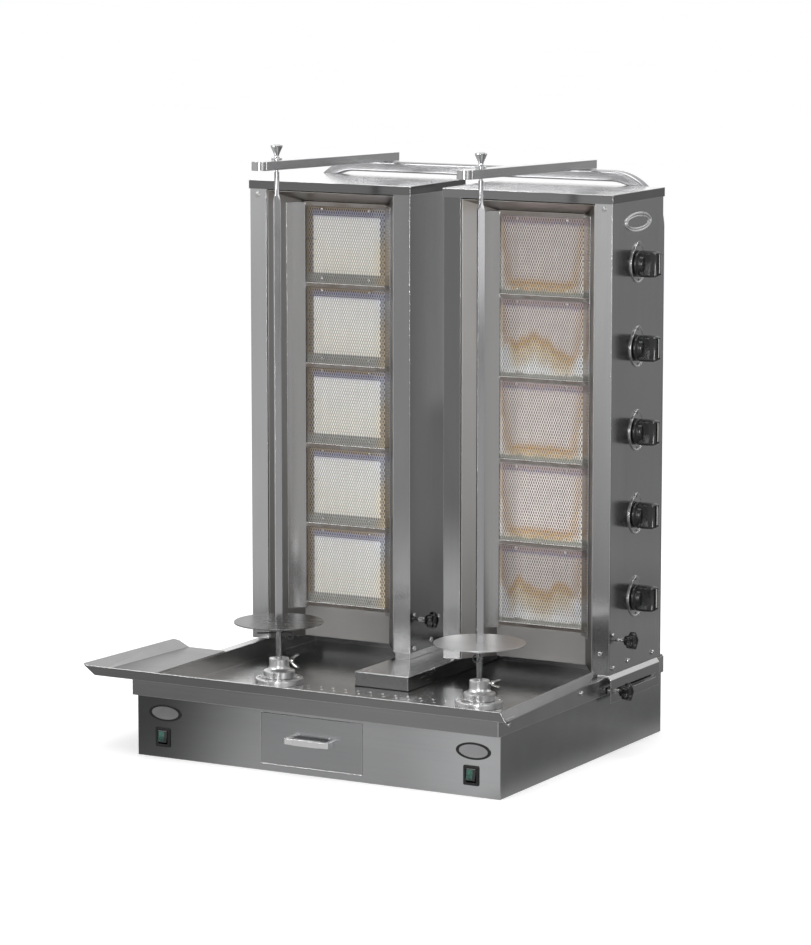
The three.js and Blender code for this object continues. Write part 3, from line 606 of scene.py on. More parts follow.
FINISH = {
    "casing": steel("brushed_casing", "z", (0.54, 0.54, 0.545), rough=0.17, tint_and_painted_light=casing_painted_light_and_shade),
    "liner": steel(
        "brushed_liner", "z", (0.50, 0.49, 0.48), rough=0.32,
        streak=0.012, cloud=0.03, edge=0.25, tint_and_painted_light=liner_painted_light_and_shade,
    ),
    "cap": steel(
        "brushed_cap", "x", (0.80, 0.80, 0.80), rough=0.12, streak=0.01, tint_and_painted_light=cap_painted_shade
    ),
    "cabinet": steel(
        "brushed_cabinet", "x", (0.49, 0.495, 0.50), rough=0.18, tint_and_painted_light=cabinet_painted_light_and_shade
    ),
    "tray": steel(
        "brushed_tray", "x", (0.64, 0.64, 0.64), rough=0.22, cloud=0.05, tint_and_painted_light=tray_painted_shade
    ),
    "catch": steel("brushed_catch_frame", "x", (0.48, 0.48, 0.48), rough=0.2, tint_and_painted_light=catch_painted_shade),
    "cover": steel(
        "brushed_channel", "y", (0.78, 0.78, 0.78), rough=0.24, cloud=0.04, tint_and_painted_light=cover_painted_shade
    ),
    "tube": steel(
        "brushed_tube", "x", (0.46, 0.46, 0.47), rough=0.24, bevel=0.0010, edge=0.3
    ),
    "arm": steel(
        "brushed_arm", "y", (0.92, 0.92, 0.93), rough=0.16, bevel=0.0014, tint_and_painted_light=arm_painted_shade
    ),
    "drawer": steel("brushed_drawer", "x", (0.42, 0.425, 0.43), rough=0.18),
    "carriage": steel(
        "brushed_carriage", "y", (0.62, 0.62, 0.62), rough=0.2, tint_and_painted_light=carriage_painted_light_and_shade
    ),
    "guard": steel(
        "heat_tinted_guard", "z", (0.50, 0.495, 0.49), rough=0.17, streak=0.02, tint_and_painted_light=guard_tint
    ),
    # one brushed steel in two copies: the left plate's dark colour is painted shade, the right
    # plate's light one painted light
    "plate_left": steel(
        "brushed_plate_shaded_left", "x", (0.17, 0.17, 0.17), rough=0.26, bevel=0.0006, aniso=0.3
    ),
    "plate_right": steel(
        "brushed_plate_lit_right", "x", (0.78, 0.78, 0.78), rough=0.3, bevel=0.0006, aniso=0.3
    ),
    "pin": polished("chromed_pin", (0.72, 0.72, 0.73), rough=0.11),
    "spit": steel(
        "ground_spit", "z", (0.50, 0.50, 0.51), rough=0.17, bevel=0.0010, streak=0.02
    ),
    "handle": polished("chromed_handle", (0.97, 0.97, 0.98), rough=0.2, bevel=0.0014),
    "brass": polished("machined_brass", (0.62, 0.47, 0.22), rough=0.25),
    "iron": polished("oiled_wire", (0.10, 0.10, 0.105), rough=0.32, bevel=0.0),
    "knob": plastic("black_knob", (0.012, 0.012, 0.013), rough=0.16, bevel=0.0009),
    "star": plastic(
        "black_star_knob", (0.004, 0.004, 0.0045), rough=0.24, bevel=0.0008, coat=0.15
    ),
    "black": plastic("black_bezel", (0.005, 0.005, 0.0055), rough=0.3, coat=0.1),
    "inlay": plastic("pale_inlay", (0.62, 0.62, 0.60), rough=0.3, bevel=0.0),
    "screw": polished("plated_screw", (0.74, 0.74, 0.73), rough=0.14, bevel=0.0003),
    "badge": polished("badge_face", (0.50, 0.50, 0.51), rough=0.2, bevel=0.0004),
    "emboss": polished("embossed_edge", (0.98, 0.98, 0.98), rough=0.3, bevel=0.0003),
    "dark_gap": plastic("shadow_gap", (0.006, 0.006, 0.006), rough=0.7, bevel=0.0, coat=0.0),
    # full-strength painted highlight on the dial plate's folds
    "dial": steel(
        "dial_plate", "z", (0.62, 0.62, 0.62), rough=0.16,
        bevel=0.0009, edge=1.0, bright=(0.98, 0.98, 0.98),
    ),
}
for side in SIDES:
    hub_x, hub_y, _ = hub_centre(side)
    FINISH[f"hub_{side}"] = polished(
        f"turned_hub_{side}", (0.90, 0.90, 0.905), rough=0.27,
        bevel=0.0005, rings=(hub_x * MM, hub_y * MM), vary=0.03,
    )
FINISH["rocker"] = rocker_material()
for side in SIDES:
    FINISH[f"pan_{side}"] = burner_metal(side)
    FINISH[f"tile_{side}"] = ceramic(side)
    FINISH[f"screen_{side}"] = screen_material(side)


# ------------------------------------------------------------------ finishes of the frame's pieces
BASE_PIECES = (  # piece, finish, slot
    ("base_cabinet", "cabinet", "brushed_stainless"),
    ("drip_tray", "tray", "brushed_stainless"),
    ("catch_frame", "catch", "brushed_stainless"),
    ("centre_channel_cover", "cover", "brushed_stainless"),
    ("rear_frame", "tube", "brushed_stainless"),
    ("drawer_box", "drawer", "brushed_stainless"),
    ("drawer_handle", "handle", "knob_chrome"),
)
SIDE_PIECES = (  # piece before its side, finish, slot; {} stands for the side
    ("spit_drive", "hub_{}", "turned_aluminium"),
    ("spit_hub", "hub_{}", "turned_aluminium"),
    ("spit", "spit", "spit_steel"),
    ("spit_clip", "iron", "spring_wire"),
    ("meat_plate", "plate_{}", "brushed_stainless"),
    ("spit_arm", "arm", "brushed_stainless"),
    ("lock_pin", "pin", "knob_chrome"),
    ("rocker", "rocker", "switch_green"),
    ("tower_casing", "casing", "brushed_stainless"),
    ("tower_cap", "cap", "brushed_stainless"),
    ("tower_liner", "liner", "brushed_stainless"),
    ("burner_guard", "guard", "dark_stainless"),
    ("gas_manifold", "brass", "gas_brass"),
    ("tower_carriage", "carriage", "brushed_stainless"),
    ("tower_clamp_knob", "star", "black_plastic"),
)


def finish_piece(name, finish, split=32):
    """Give a piece its material and smooth shading split at an angle in degrees."""
    piece = NODES[name]
    mesh = piece.data
    mesh.materials.clear()
    mesh.materials.append(FINISH[finish])
    if "custom_normal" in mesh.attributes:
        mesh.attributes.remove(mesh.attributes["custom_normal"])
    for face in mesh.polygons:
        face.use_smooth = True
        face.material_index = 0
    piece.modifiers.new("weld", "WELD").merge_threshold = 2e-6
    piece.modifiers.new("edges", "EDGE_SPLIT").split_angle = math.radians(split)


for piece, finish, slot in BASE_PIECES:
    finish_piece(piece, finish)
for side in SIDES:
    for piece, finish, slot in SIDE_PIECES:
        split = 19 if piece in ("spit_hub", "spit_drive") else 32
        finish_piece(f"{piece}_{side}", finish.format(side), split)
    for i in BURNERS:
        finish_piece(f"burner_{side}_{i}", f"pan_{side}")
        finish_piece(f"gas_knob_{side}_{i}", "knob")
finish_piece("slide_clamp_knob_right", "star")


# ------------------------------------------------------------------ mesh helpers
# Rotations that take local +Z to a direction.
TO_RIGHT = Matrix.Rotation(math.radians(90), 4, "Y")
TO_LEFT = Matrix.Rotation(math.radians(-90), 4, "Y")
TO_FRONT = Matrix.Rotation(math.radians(90), 4, "X")


def upright(outward):
    """Local +Z to world X in the outward direction, local +Y up."""
    return Matrix(((0, 0, outward, 0), (outward, 0, 0, 0), (0, 1, 0, 0), (0, 0, 0, 1)))


def spin(degrees):
    return Matrix.Rotation(math.radians(degrees), 4, "Z")


def place(name, mesh, body, slot, at=(0, 0, 0), turn=Matrix()):
    """Put a mesh in the scene, riding on a body of the frame."""
    item = bpy.data.objects.new(name, mesh)
    bpy.context.scene.collection.objects.link(item)
    item.matrix_world = Matrix.Translation(Vector(at) * MM) @ turn
    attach(item, body)
    return item


def to_mesh(shape, name, finish=None, smooth=35.0):
    """Close a shape drawn in millimetres into a mesh in metres, sharp above an angle."""
    bmesh.ops.remove_doubles(shape, verts=shape.verts, dist=1e-4)
    bmesh.ops.recalc_face_normals(shape, faces=shape.faces)
    bmesh.ops.scale(shape, vec=(MM, MM, MM), verts=shape.verts)
    mesh = bpy.data.meshes.new(name)
    shape.to_mesh(mesh)
    shape.free()
    smooth_mesh(mesh, smooth)
    if finish:
        mesh.materials.append(FINISH[finish])
    return mesh


def smooth_mesh(mesh, degrees):
    for face in mesh.polygons:
        face.use_smooth = True
    mesh.set_sharp_from_angle(angle=math.radians(degrees))


def bridge(shape, rows):
    """Quads between neighbouring closed rows of vertices."""
    for row, following in zip(rows, rows[1:]):
        for i in range(len(row)):
            j = (i + 1) % len(row)
            shape.faces.new((row[i], row[j], following[j], following[i]))


def circle(radius, height, segments, centre=(0, 0)):
    points = []
    for i in range(segments):
        angle = 2 * math.pi * i / segments
        x = centre[0] + radius * math.cos(angle)
        points.append((x, centre[1] + radius * math.sin(angle), height))
    return points


def add_rows(shape, loops):
    return [[shape.verts.new(point) for point in loop] for loop in loops]


def lathe(profile, segments, into=None):
    """Turned body round +Z; profile is (radius, height)."""
    shape = bmesh.new() if into is None else into
    loops = [circle(r, z, segments) if r else [(0, 0, z)] for r, z in profile]
    rows = add_rows(shape, loops)
    for row, following in zip(rows, rows[1:]):
        if len(row) > 1 and len(following) > 1:
            bridge(shape, [row, following])
            continue
        for i in range(segments):
            j = (i + 1) % segments
            if len(row) == 1:
                shape.faces.new((row[0], following[j], following[i]))
            else:
                shape.faces.new((row[i], row[j], following[0]))
    return shape


def loft(loops, into=None):
    """Body through loops with equal point counts, capped at both ends."""
    shape = bmesh.new() if into is None else into
    rows = add_rows(shape, loops)
    bridge(shape, rows)
    shape.faces.new(list(reversed(rows[0])))
    shape.faces.new(rows[-1])
    return shape


def plan_loops(outline, levels):
    """Loops of a flat XY outline at (height, inset) levels, inset along its own normals."""
    count = len(outline)
    area = 0
    for i, (x, y) in enumerate(outline):
        next_x, next_y = outline[(i + 1) % count]
        area += x * next_y - next_x * y
    sign = 1.0 if area > 0 else -1.0
    loops = []
    for height, inset in levels:
        loop = []
        for i, (x, y) in enumerate(outline):
            before, after = outline[i - 1], outline[(i + 1) % count]
            along = Vector((after[0] - before[0], after[1] - before[1])).normalized()
            inward = Vector((-along.y, along.x)) * sign
            loop.append((x + inward.x * inset, y + inward.y * inset, height))
        loops.append(loop)
    return loops


def hollow(outer, inner, outer_levels, inner_levels, into=None):
    """Closed frame between two outlines with the same number of points."""
    shape = bmesh.new() if into is None else into
    inside = plan_loops(inner, inner_levels)
    rows = add_rows(shape, plan_loops(outer, outer_levels) + inside[::-1])
    bridge(shape, rows + rows[:1])
    return shape


def rounded_rect(width, height, radius, steps=6):
    points = []
    for corner, (sx, sy) in enumerate(((1, 1), (-1, 1), (-1, -1), (1, -1))):
        for i in range(steps + 1):
            angle = math.radians(90 * corner + 90 * i / steps)
            x = sx * (width / 2 - radius) + radius * math.cos(angle)
            points.append((x, sy * (height / 2 - radius) + radius * math.sin(angle)))
    return points


def ellipse(half_width, half_height, count=72):
    angles = [2 * math.pi * i / count for i in range(count)]
    return [(half_width * math.cos(a), half_height * math.sin(a)) for a in angles]


def screw_mesh(name, radius, height, slot_width, cross=True, washer=0.0):
    """Pan head screw with a driver recess, axis +Z, seat at z 0."""
    shape = bmesh.new()
    seat = 0.0
    if washer:
        rim = [(0, 0), (washer, 0), (washer, 0.7), (washer - 0.2, 0.9), (0, 0.9)]
        lathe(rim, 40, shape)
        seat = 0.9
    profile = [(0, seat), (radius, seat), (radius, seat + 0.35 * height)]
    for i in range(1, 9):
        angle = math.radians(90 * i / 8)
        head_radius = radius * (0.55 + 0.45 * math.cos(angle))
        profile.append((head_radius, seat + height * (0.35 + 0.65 * math.sin(angle))))
    profile += [(radius * 0.3, seat + height), (0, seat + height)]
    head_mesh = to_mesh(lathe(profile, 40, shape), name)

    cutter = bmesh.new()
    length = 1.24 * radius
    bars = [(length, slot_width)] + ([(slot_width, length)] if cross else [])
    for bar_x, bar_y in bars:
        size = Matrix.Diagonal((bar_x * MM, bar_y * MM, height * 0.9 * MM, 1))
        top = Matrix.Translation((0, 0, (seat + height) * MM))
        bmesh.ops.create_cube(cutter, size=1.0, matrix=top @ size)
    cutter_mesh = bpy.data.meshes.new(name + "_cut")
    cutter.to_mesh(cutter_mesh)
    cutter.free()

    head = bpy.data.objects.new(name + "_head", head_mesh)
    tool = bpy.data.objects.new(name + "_tool", cutter_mesh)
    for item in (head, tool):
        bpy.context.scene.collection.objects.link(item)
    cut = head.modifiers.new("cut", "BOOLEAN")
    cut.operation = "DIFFERENCE"
    cut.object = tool
    cut.solver = "EXACT"
    cut.use_self = True
    depsgraph = bpy.context.evaluated_depsgraph_get()
    mesh = bpy.data.meshes.new_from_object(head.evaluated_get(depsgraph))
    mesh.name = name
    for item in (head, tool):
        bpy.data.objects.remove(item)
    smooth_mesh(mesh, 35)
    mesh.materials.clear()
    mesh.materials.append(FINISH["screw"])
    return mesh


# ------------------------------------------------------------------ burners
SCREEN_WIDTH, SCREEN_HEIGHT = 168.6, 142.3
DIAMOND_WIDTH, DIAMOND_HEIGHT = 4.77, 10.17  # before fitting a whole number to the screen
KNUCKLE = 1.3  # half height of the joint between diamonds
ELECTRODE = [  # (radius, height): ceramic sleeve, then wire tip
    (0, 0), (1.9, 0), (2.2, 0.4), (2.2, 8), (1.5, 8.8), (0.8, 9.0), (0.8, 19.5),
    (0.5, 20.2), (0, 20.3),
]


def strand(shape, start, end, half_width, half_thickness, tilt):
    """Flat bar between two points of the XZ plane, twisted by a tilt in degrees."""
    along = (end - start).normalized()
    front = Vector((0, 1, 0))
    across = along.cross(front).normalized()
    cosine, sine = math.cos(math.radians(tilt)), math.sin(math.radians(tilt))
    wide = across * cosine + front * sine
    thick = front * cosine - across * sine
    corners = ((-1, -1), (1, -1), (1, 1), (-1, 1))
    loops = [
        [base + wide * half_width * i + thick * half_thickness * j for i, j in corners]
        for base in (start, end)
    ]
    loft(loops, shape)


def screen_mesh(side):
    """Expanded metal: diamonds of twisted strands with knuckles between."""
    columns = int(SCREEN_WIDTH / DIAMOND_WIDTH)
    rows = int(SCREEN_HEIGHT / DIAMOND_HEIGHT)
    width, height = SCREEN_WIDTH / columns, SCREEN_HEIGHT / rows
    top = SCREEN_HEIGHT / 2
    shape = bmesh.new()
    for i in range(2 * columns + 1):
        for j in range(2 * rows + 1):
            if (i + j) % 2:
                continue
            x, z = -SCREEN_WIDTH / 2 + i * width / 2, -top + j * height / 2
            start = Vector((x, 0, max(z - KNUCKLE, -top)))
            end = Vector((x, 0, min(z + KNUCKLE, top)))
            strand(shape, start, end, half_width=0.95, half_thickness=0.5, tilt=12)
            if j == 2 * rows:
                continue
            for way in (-1, 1):
                if 0 <= i + way <= 2 * columns:
                    start = Vector((x, 0, z + KNUCKLE * 0.75))
                    end = Vector((x + way * width / 2, 0, z + height / 2 - KNUCKLE * 0.75))
                    strand(
                        shape, start, end, half_width=0.62, half_thickness=0.42, tilt=26 * way
                    )
    return to_mesh(shape, f"screen_mesh_{side}", f"screen_{side}", 30)


def build_burners(side):
    """Screen, tile, four screws and an electrode for each burner of a tower."""
    screen = screen_mesh(side)
    outline = rounded_rect(141.4, 106.4, 2.2, steps=4)
    tile_shape = loft(plan_loops(outline, [(-0.6, 0), (0.5, 0), (0.8, 0.35)]))
    tile = to_mesh(tile_shape, f"tile_mesh_{side}", f"tile_{side}")
    tile.transform(TO_FRONT)
    stud = screw_mesh(f"stud_mesh_{side}", radius=2.6, height=1.5, slot_width=0.6)
    body = f"tower_{side}"
    x = TOWER_X[side]
    for i in BURNERS:
        z = TOP_BURNER_Z - BURNER_PITCH * (i - 1)
        face_y = box_mm(f"burner_{side}_{i}")[0][1]
        name = f"burner_screen_{side}_{i}"
        place(name, screen, body, "dark_stainless", (x, SCREEN_Y, z))
        name = f"burner_tile_{side}_{i}"
        place(name, tile, body, "burner_ceramic", (x, face_y - 0.1, z))
        for k, (dx, dz) in enumerate(((-50, 65.5), (50, 65.5), (-50, -62), (50, -62))):
            name = f"screen_screw_{side}_{i}_{k + 1}"
            at = (x + dx, SCREEN_Y - 0.5, z + dz)
            place(name, stud, body, "dark_stainless", at, TO_FRONT)
        electrode = to_mesh(lathe(ELECTRODE, 20), f"electrode_mesh_{side}_{i}", "iron")
        at = (x + OUTWARD[side] * 84.0, (SCREEN_Y + face_y) / 2 + 0.2, z + 9)
        inward = TO_LEFT if side == "right" else TO_RIGHT
        place(f"electrode_{side}_{i}", electrode, body, "spring_wire", at, inward)


for side in SIDES:
    build_burners(side)


# ------------------------------------------------------------------ gas knobs and their dials
KNOB_SKIRT_RADIUS = 23.5
GRIP_HALF_WIDTH, GRIP_WAIST, GRIP_HALF_LENGTH, GRIP_END = 11.5, 1.6, 20.0, 4.2
GRIP_LEVELS = [  # (height, inset)
    (6.0, 0), (22.0, 0.1), (33.0, 0.8), (36.8, 1.6), (39.2, 2.9), (40.4, 4.6), (40.7, 6.2),
]
DIAL_RADIUS, DIAL_TIP = 32.0, 41.0
DIAL_DOTS = (  # (angle in degrees from local +X, radius, whether big)
    (90, 33.5, True), (142, 27.6, False), (180, 27.4, True), (218, 27.4, False),
    (270, 28.6, True), (322, 27.4, False), (38, 27.6, False),
)


def gas_knob_mesh():
    """Skirt and collar, with a grip bar across that is waisted between rounded ends."""
    rim = KNOB_SKIRT_RADIUS
    skirt = [  # (radius, height)
        (0, 0.2), (rim - 0.6, 0.2), (rim, 0.8), (rim, 3.6), (rim - 0.5, 4.6),
        (rim - 1.6, 5.4), (19.5, 6.2), (18.0, 7.6), (17.4, 10.0), (17.0, 14.0),
        (16.0, 15.0), (0, 15.2),
    ]
    shape = lathe(skirt, 96)
    half = []
    for i in range(17):  # right flank upwards
        t = -1 + 2 * i / 16
        half.append((GRIP_HALF_WIDTH - GRIP_WAIST * (1 - t * t), t * GRIP_HALF_LENGTH))
    for i in range(1, 8):  # rounded upper end
        angle = math.radians(180 * i / 8)
        y = GRIP_HALF_LENGTH + GRIP_END * math.sin(angle)
        half.append((GRIP_HALF_WIDTH * math.cos(angle), y))
    outline = half + [(-x, -y) for x, y in half]
    loft(plan_loops(outline, GRIP_LEVELS), shape)
    return to_mesh(shape, "gas_knob_mesh", "knob", 40)


def knob_line_mesh():
    outline = [(-0.8, -15.5), (0.8, -15.5), (0.8, 18.5), (-0.8, 18.5)]
    levels = [(40.2, 0), (40.85, 0), (40.95, 0.15)]
    return to_mesh(loft(plan_loops(outline, levels)), "knob_line_mesh", "inlay")


def dial_flank(start, end, steps=10, bow=2.2):
    """Points between two ends of a slightly bowed flank."""
    run, rise = end[0] - start[0], end[1] - start[1]
    outward = Vector((rise, -run)).normalized()
    points = []
    for i in range(1, steps):
        t = i / steps
        push = bow * 4 * t * (1 - t)
        x = start[0] + run * t + outward.x * push
        points.append((x, start[1] + rise * t + outward.y * push))
    return points


def dial_mesh():
    """Teardrop plate behind a knob, its point up, with a bevelled rim."""
    tangent = math.asin(DIAL_RADIUS / DIAL_TIP)
    start, end = math.pi - tangent, 2 * math.pi + tangent
    bowl = []
    for i in range(49):
        angle = start + (end - start) * i / 48
        depth = DIAL_RADIUS + 3.0 * max(0.0, -math.sin(angle))
        bowl.append((DIAL_RADIUS * math.cos(angle), depth * math.sin(angle)))
    tip = (0.0, DIAL_TIP)
    outline = bowl + dial_flank(bowl[-1], tip) + [tip] + dial_flank(tip, bowl[0])
    levels = [(0, 0), (1.8, 0), (2.4, 0.6), (2.4, 2.2), (1.0, 3.4)]
    return to_mesh(loft(plan_loops(outline, levels)), "dial_mesh", "dial", 30)


def dot_mesh(radius):
    profile = [(0, 0), (radius, 0), (radius, 0.22), (radius - 0.2, 0.3), (0, 0.3)]
    return to_mesh(lathe(profile, 24), "dot_mesh", "black")


def build_gas_knobs():
    knob, line, dial = gas_knob_mesh(), knob_line_mesh(), dial_mesh()
    big_dot, small_dot = dot_mesh(1.7), dot_mesh(1.0)
    for side in SIDES:
        turn = upright(OUTWARD[side])
        for i in BURNERS:
            low, high = box_mm(f"gas_knob_{side}_{i}")
            back_x = high[0] if side == "left" else low[0]
            y, z = (low[1] + high[1]) / 2, (low[2] + high[2]) / 2
            at = (back_x, y, z)
            body = f"knob_{side}_{i}"
            item = place(f"gas_knob_body_{side}_{i}", knob, body, "black_plastic", at, turn)
            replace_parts(item, f"gas_knob_{side}_{i}")
            place(f"gas_knob_line_{side}_{i}", line, body, "black_plastic", at, turn)
            at = Vector((OUTER_WALL[side], y, z))
            body = f"tower_{side}"
            place(f"dial_plate_{side}_{i}", dial, body, "brushed_stainless", at, turn)
            for k, (degrees, radius, big) in enumerate(DIAL_DOTS):
                angle = math.radians(degrees)
                spot = Vector((radius * math.cos(angle), radius * math.sin(angle), 1.0))
                name = f"dial_dot_{side}_{i}_{k + 1}"
                dot = big_dot if big else small_dot
                place(name, dot, body, "black_plastic", at + turn.to_3x3() @ spot, turn)


build_gas_knobs()


# ------------------------------------------------------------------ star knobs
STAR_HEIGHT = 34  # from the seat to the outer end of the frame's knob
STAR_LEVELS = (  # (scale, height, how much the lobes are softened)
    (0.86, 21.0, 0.0), (0.97, 21.8, 0.0), (1.0, 23.2, 0.0), (1.0, 30.4, 0.0),
    (0.965, 32.2, 0.0), (0.88, 33.4, 0.3), (0.7, 33.9, 0.8), (0.45, 33.3, 1.4),
    (0.4, 32.6, 1.6),
)
STAR_NECK = [(0, 13.8), (8.2, 13.8), (9.0, 14.6), (9.0, 20), (10.5, 22), (0, 23)]
STAR_KNOBS = (  # (kind, side, stud length inside, distance behind the tower front, height)
    ("tower_clamp", "left", 10, 36, 207.0),
    ("tower_clamp", "right", 10, 36, 207.0),
    ("slide_clamp", "right", 24, 13.5, 118.0),
)


def star_loop(scale, height, soft):
    """Five-lobed loop."""
    loop = []
    for i in range(120):
        angle = 2 * math.pi * i / 120
        radius = (14.6 + (1.9 - soft) * math.cos(5 * angle)) * scale
        loop.append((radius * math.cos(angle), radius * math.sin(angle), height))
    return loop


def star_head_mesh(inside):
    shape = loft([star_loop(*level) for level in STAR_LEVELS])
    return to_mesh(lathe(STAR_NECK, 48, shape), f"star_head_{inside}", "star", 38)


def star_stud_mesh(inside):
    """Threaded stud reaching inside the wall."""
    profile = [(0, -inside), (3.2, -inside)]
    z = -inside + 0.6
    while z < 14.4:
        profile += [(3.95, z), (3.35, z + 0.6)]
        z += 1.2
    profile += [(3.6, 14.6), (0, 14.6)]
    return to_mesh(lathe(profile, 24), f"star_stud_{inside}", "screw", 20)


for kind, side, inside, behind, z in STAR_KNOBS:
    seat_x = box_mm(f"{kind}_knob_{side}")[1][0] - STAR_HEIGHT
    head, stud = star_head_mesh(inside), star_stud_mesh(inside)
    at = (seat_x, TOWER_FRONT[side] + behind, z)
    body = f"{kind}_{side}"
    item = place(f"{kind}_head_{side}", head, body, "black_plastic", at, upright(1))
    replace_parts(item, f"{kind}_knob_{side}")
    place(f"{kind}_stud_{side}", stud, body, "spit_steel", at, upright(1))


# ------------------------------------------------------------------ switch frames and badges
BADGES = (("left", -310.0, 81.5), ("right", 316.0, 80.0))  # side, x, z


def switch_frame_mesh():
    outer, inner = rounded_rect(30.5, 35, 2.6), rounded_rect(20.0, 24.2, 1.2)
    inner_levels = [(-5.0, 0), (2.0, 0), (2.9, -0.8)]
    shape = hollow(outer, inner, [(0, 0), (1.6, 0), (3.0, 1.2)], inner_levels)
    return to_mesh(shape, "switch_frame_mesh", "black")


def badge_face_mesh():
    levels = [(0, 0), (0.4, 0), (0.6, 0.3), (0.6, 1.2)]
    return to_mesh(loft(plan_loops(ellipse(32.5, 13.6), levels)), "badge_face_mesh", "badge")


def badge_ring_mesh():
    outer_levels = [(0, 0), (1.0, 0), (1.3, 0.4)]
    inner_levels = [(0.3, 0), (1.0, 0), (1.3, -0.4)]
    shape = hollow(ellipse(34.0, 15.0), ellipse(28.2, 11.6), outer_levels, inner_levels)
    return to_mesh(shape, "badge_ring_mesh", "black")


def oval_mesh():
    """Two raised rings, one inside the other."""
    shape = bmesh.new()
    for outer, inner, shoulder, top, slope in (
        ((53.0, 17.6), (48.6, 14.0), 1.0, 2.2, 1.2),
        ((46.0, 12.2), (42.8, 9.8), 0.8, 1.7, 0.9),
    ):
        outer_levels = [(0, 0), (shoulder, 0), (top, slope)]
        inner_levels = [(0, 0), (shoulder, 0), (top, -slope)]
        hollow(ellipse(*outer, 96), ellipse(*inner, 96), outer_levels, inner_levels, shape)
    return to_mesh(shape, "side_oval_mesh", "emboss")


switch_frame, badge_face, badge_ring = switch_frame_mesh(), badge_face_mesh(), badge_ring_mesh()
for side, x, z in BADGES:
    at = (centre_mm(f"rocker_{side}")[0], CABINET_FRONT, 37.0)
    place(f"switch_frame_{side}", switch_frame, "base", "black_plastic", at, TO_FRONT)
    at = (x, CABINET_FRONT, z)
    place(f"badge_plate_{side}", badge_face, "base", "brushed_stainless", at, TO_FRONT)
    place(f"badge_ring_{side}", badge_ring, "base", "black_plastic", at, TO_FRONT)

# embossed blank oval high on the right tower's outer wall
at = (OUTER_WALL["right"], 182, 954)
place("side_oval_right", oval_mesh(), "tower_right", "brushed_stainless", at, upright(1))


# ------------------------------------------------------------------ screws
PAN = screw_mesh("pan_screw_mesh", radius=4.6, height=3.9, slot_width=1.0)
SLOTTED = screw_mesh(
    "slot_screw_mesh", radius=4.4, height=2.4, slot_width=1.1, cross=False, washer=6.0
)
SMALL = screw_mesh("small_screw_mesh", radius=3.2, height=2.4, slot_width=0.8)
FLANGE = screw_mesh("flange_screw_mesh", radius=3.5, height=2.4, slot_width=1.0)
FLANGE_SCREW_CIRCLE = 36  # radius

FRONT_SCREWS = (  # body, mesh, x, z, turn in degrees
    ("tower_left", SLOTTED, -352.0, 981, 40),
    ("tower_left", SLOTTED, -352.0, 185.6, 75),
    ("tower_right", PAN, 362.3, 983, 40),
    ("tower_right", PAN, 361.0, 185.6, 20),
)
OUTER_PLACES = ((94, 158.5), (155, 162), (256, 160))  # (y, z)
SMALL_PLACES = ((95, 219), (188, 201))
WALL_SCREWS = (  # body, mesh, wall x, direction, places (y, z)
    ("tower_right", PAN, OUTER_WALL["right"], TO_RIGHT, OUTER_PLACES),
    ("tower_left", PAN, OUTER_WALL["left"], TO_LEFT, OUTER_PLACES),
    ("tower_left", PAN, LEFT_INNER_WALL, TO_RIGHT, ((93, 156), (157, 162))),
    ("tower_right", SMALL, OUTER_WALL["right"], TO_RIGHT, SMALL_PLACES),
    ("tower_left", SMALL, LEFT_INNER_WALL, TO_RIGHT, SMALL_PLACES),
    ("base", PAN, TRAY_HIGH[0], TO_RIGHT, ((-294, 128), (-17, 132))),
    ("base", PAN, TRAY_LOW[0], TO_LEFT, ((-17, 132),)),
)

screws = [
    (body, mesh, (x, TOWER_FRONT["right"], z), TO_FRONT @ spin(degrees))
    for body, mesh, x, z, degrees in FRONT_SCREWS
]
screws += [
    (body, mesh, (x, y, z), turn)
    for body, mesh, x, turn, places in WALL_SCREWS
    for y, z in places
]
for i, (body, mesh, at, turn) in enumerate(screws):
    place(f"screw_{i + 1:02d}", mesh, body, "spit_steel", at, turn)

for side in SIDES:
    hub_x, hub_y, _ = hub_centre(side)
    for i in range(4):
        angle = math.radians(35 + 90 * i)
        x = hub_x + FLANGE_SCREW_CIRCLE * math.cos(angle)
        at = (x, hub_y + FLANGE_SCREW_CIRCLE * math.sin(angle), HUB_SEAT_Z)
        name = f"flange_screw_{side}_{i + 1}"
        place(name, FLANGE, "base", "spit_steel", at, spin(20 * i))


# ------------------------------------------------------------------ hubs, flanges, wing bolts
HUB_PROFILE = [  # (radius, z), a closed section
    (6.1, 108), (12, 108), (12, HUB_SEAT_Z), (25.5, HUB_SEAT_Z), (25.5, 121.0), (28.2, 121.0),
    (28.6, 121.4), (28.6, 132.0), (28.2, 132.6), (27.2, 133.1), (24.6, 133.6), (22.4, 134.6),
    (20.6, 136.2), (19.3, 138.4), (18.6, 140.8), (18.3, 143.4), (18.2, 146.0), (18.2, 154.6),
    (17.6, 155.3), (17.0, 155.5), (8.2, 155.5), (7.4, 154.6), (6.1, 154.4), (6.1, 108),
]
FLANGE_PROFILE = [  # (radius, z), a closed section
    (29.6, 109.4), (43.5, 109.4), (43.5, 118.0), (43.2, 118.7), (42.4, 119.3),
    (40.0, HUB_SEAT_Z), (30.6, HUB_SEAT_Z), (29.6, 119.2), (29.6, 109.4),
]
BOLT_PROFILE = [
    (0, -2), (2.3, -2), (2.3, 2.5), (4.6, 2.5), (4.9, 3.2), (4.6, 8.0), (3.6, 9.0), (0, 9.2),
]
WING = (  # (x, z, width) along one wing
    (2.5, 5.0, 3.4), (6.5, 8.0, 4.2), (10.0, 12.5, 4.6), (11.5, 16.5, 3.8), (11.0, 18.5, 1.6),
)
WING_BOLTS = (("left", 29.0, 70), ("right", 24.0, 20))  # side, yaw and tilt in degrees

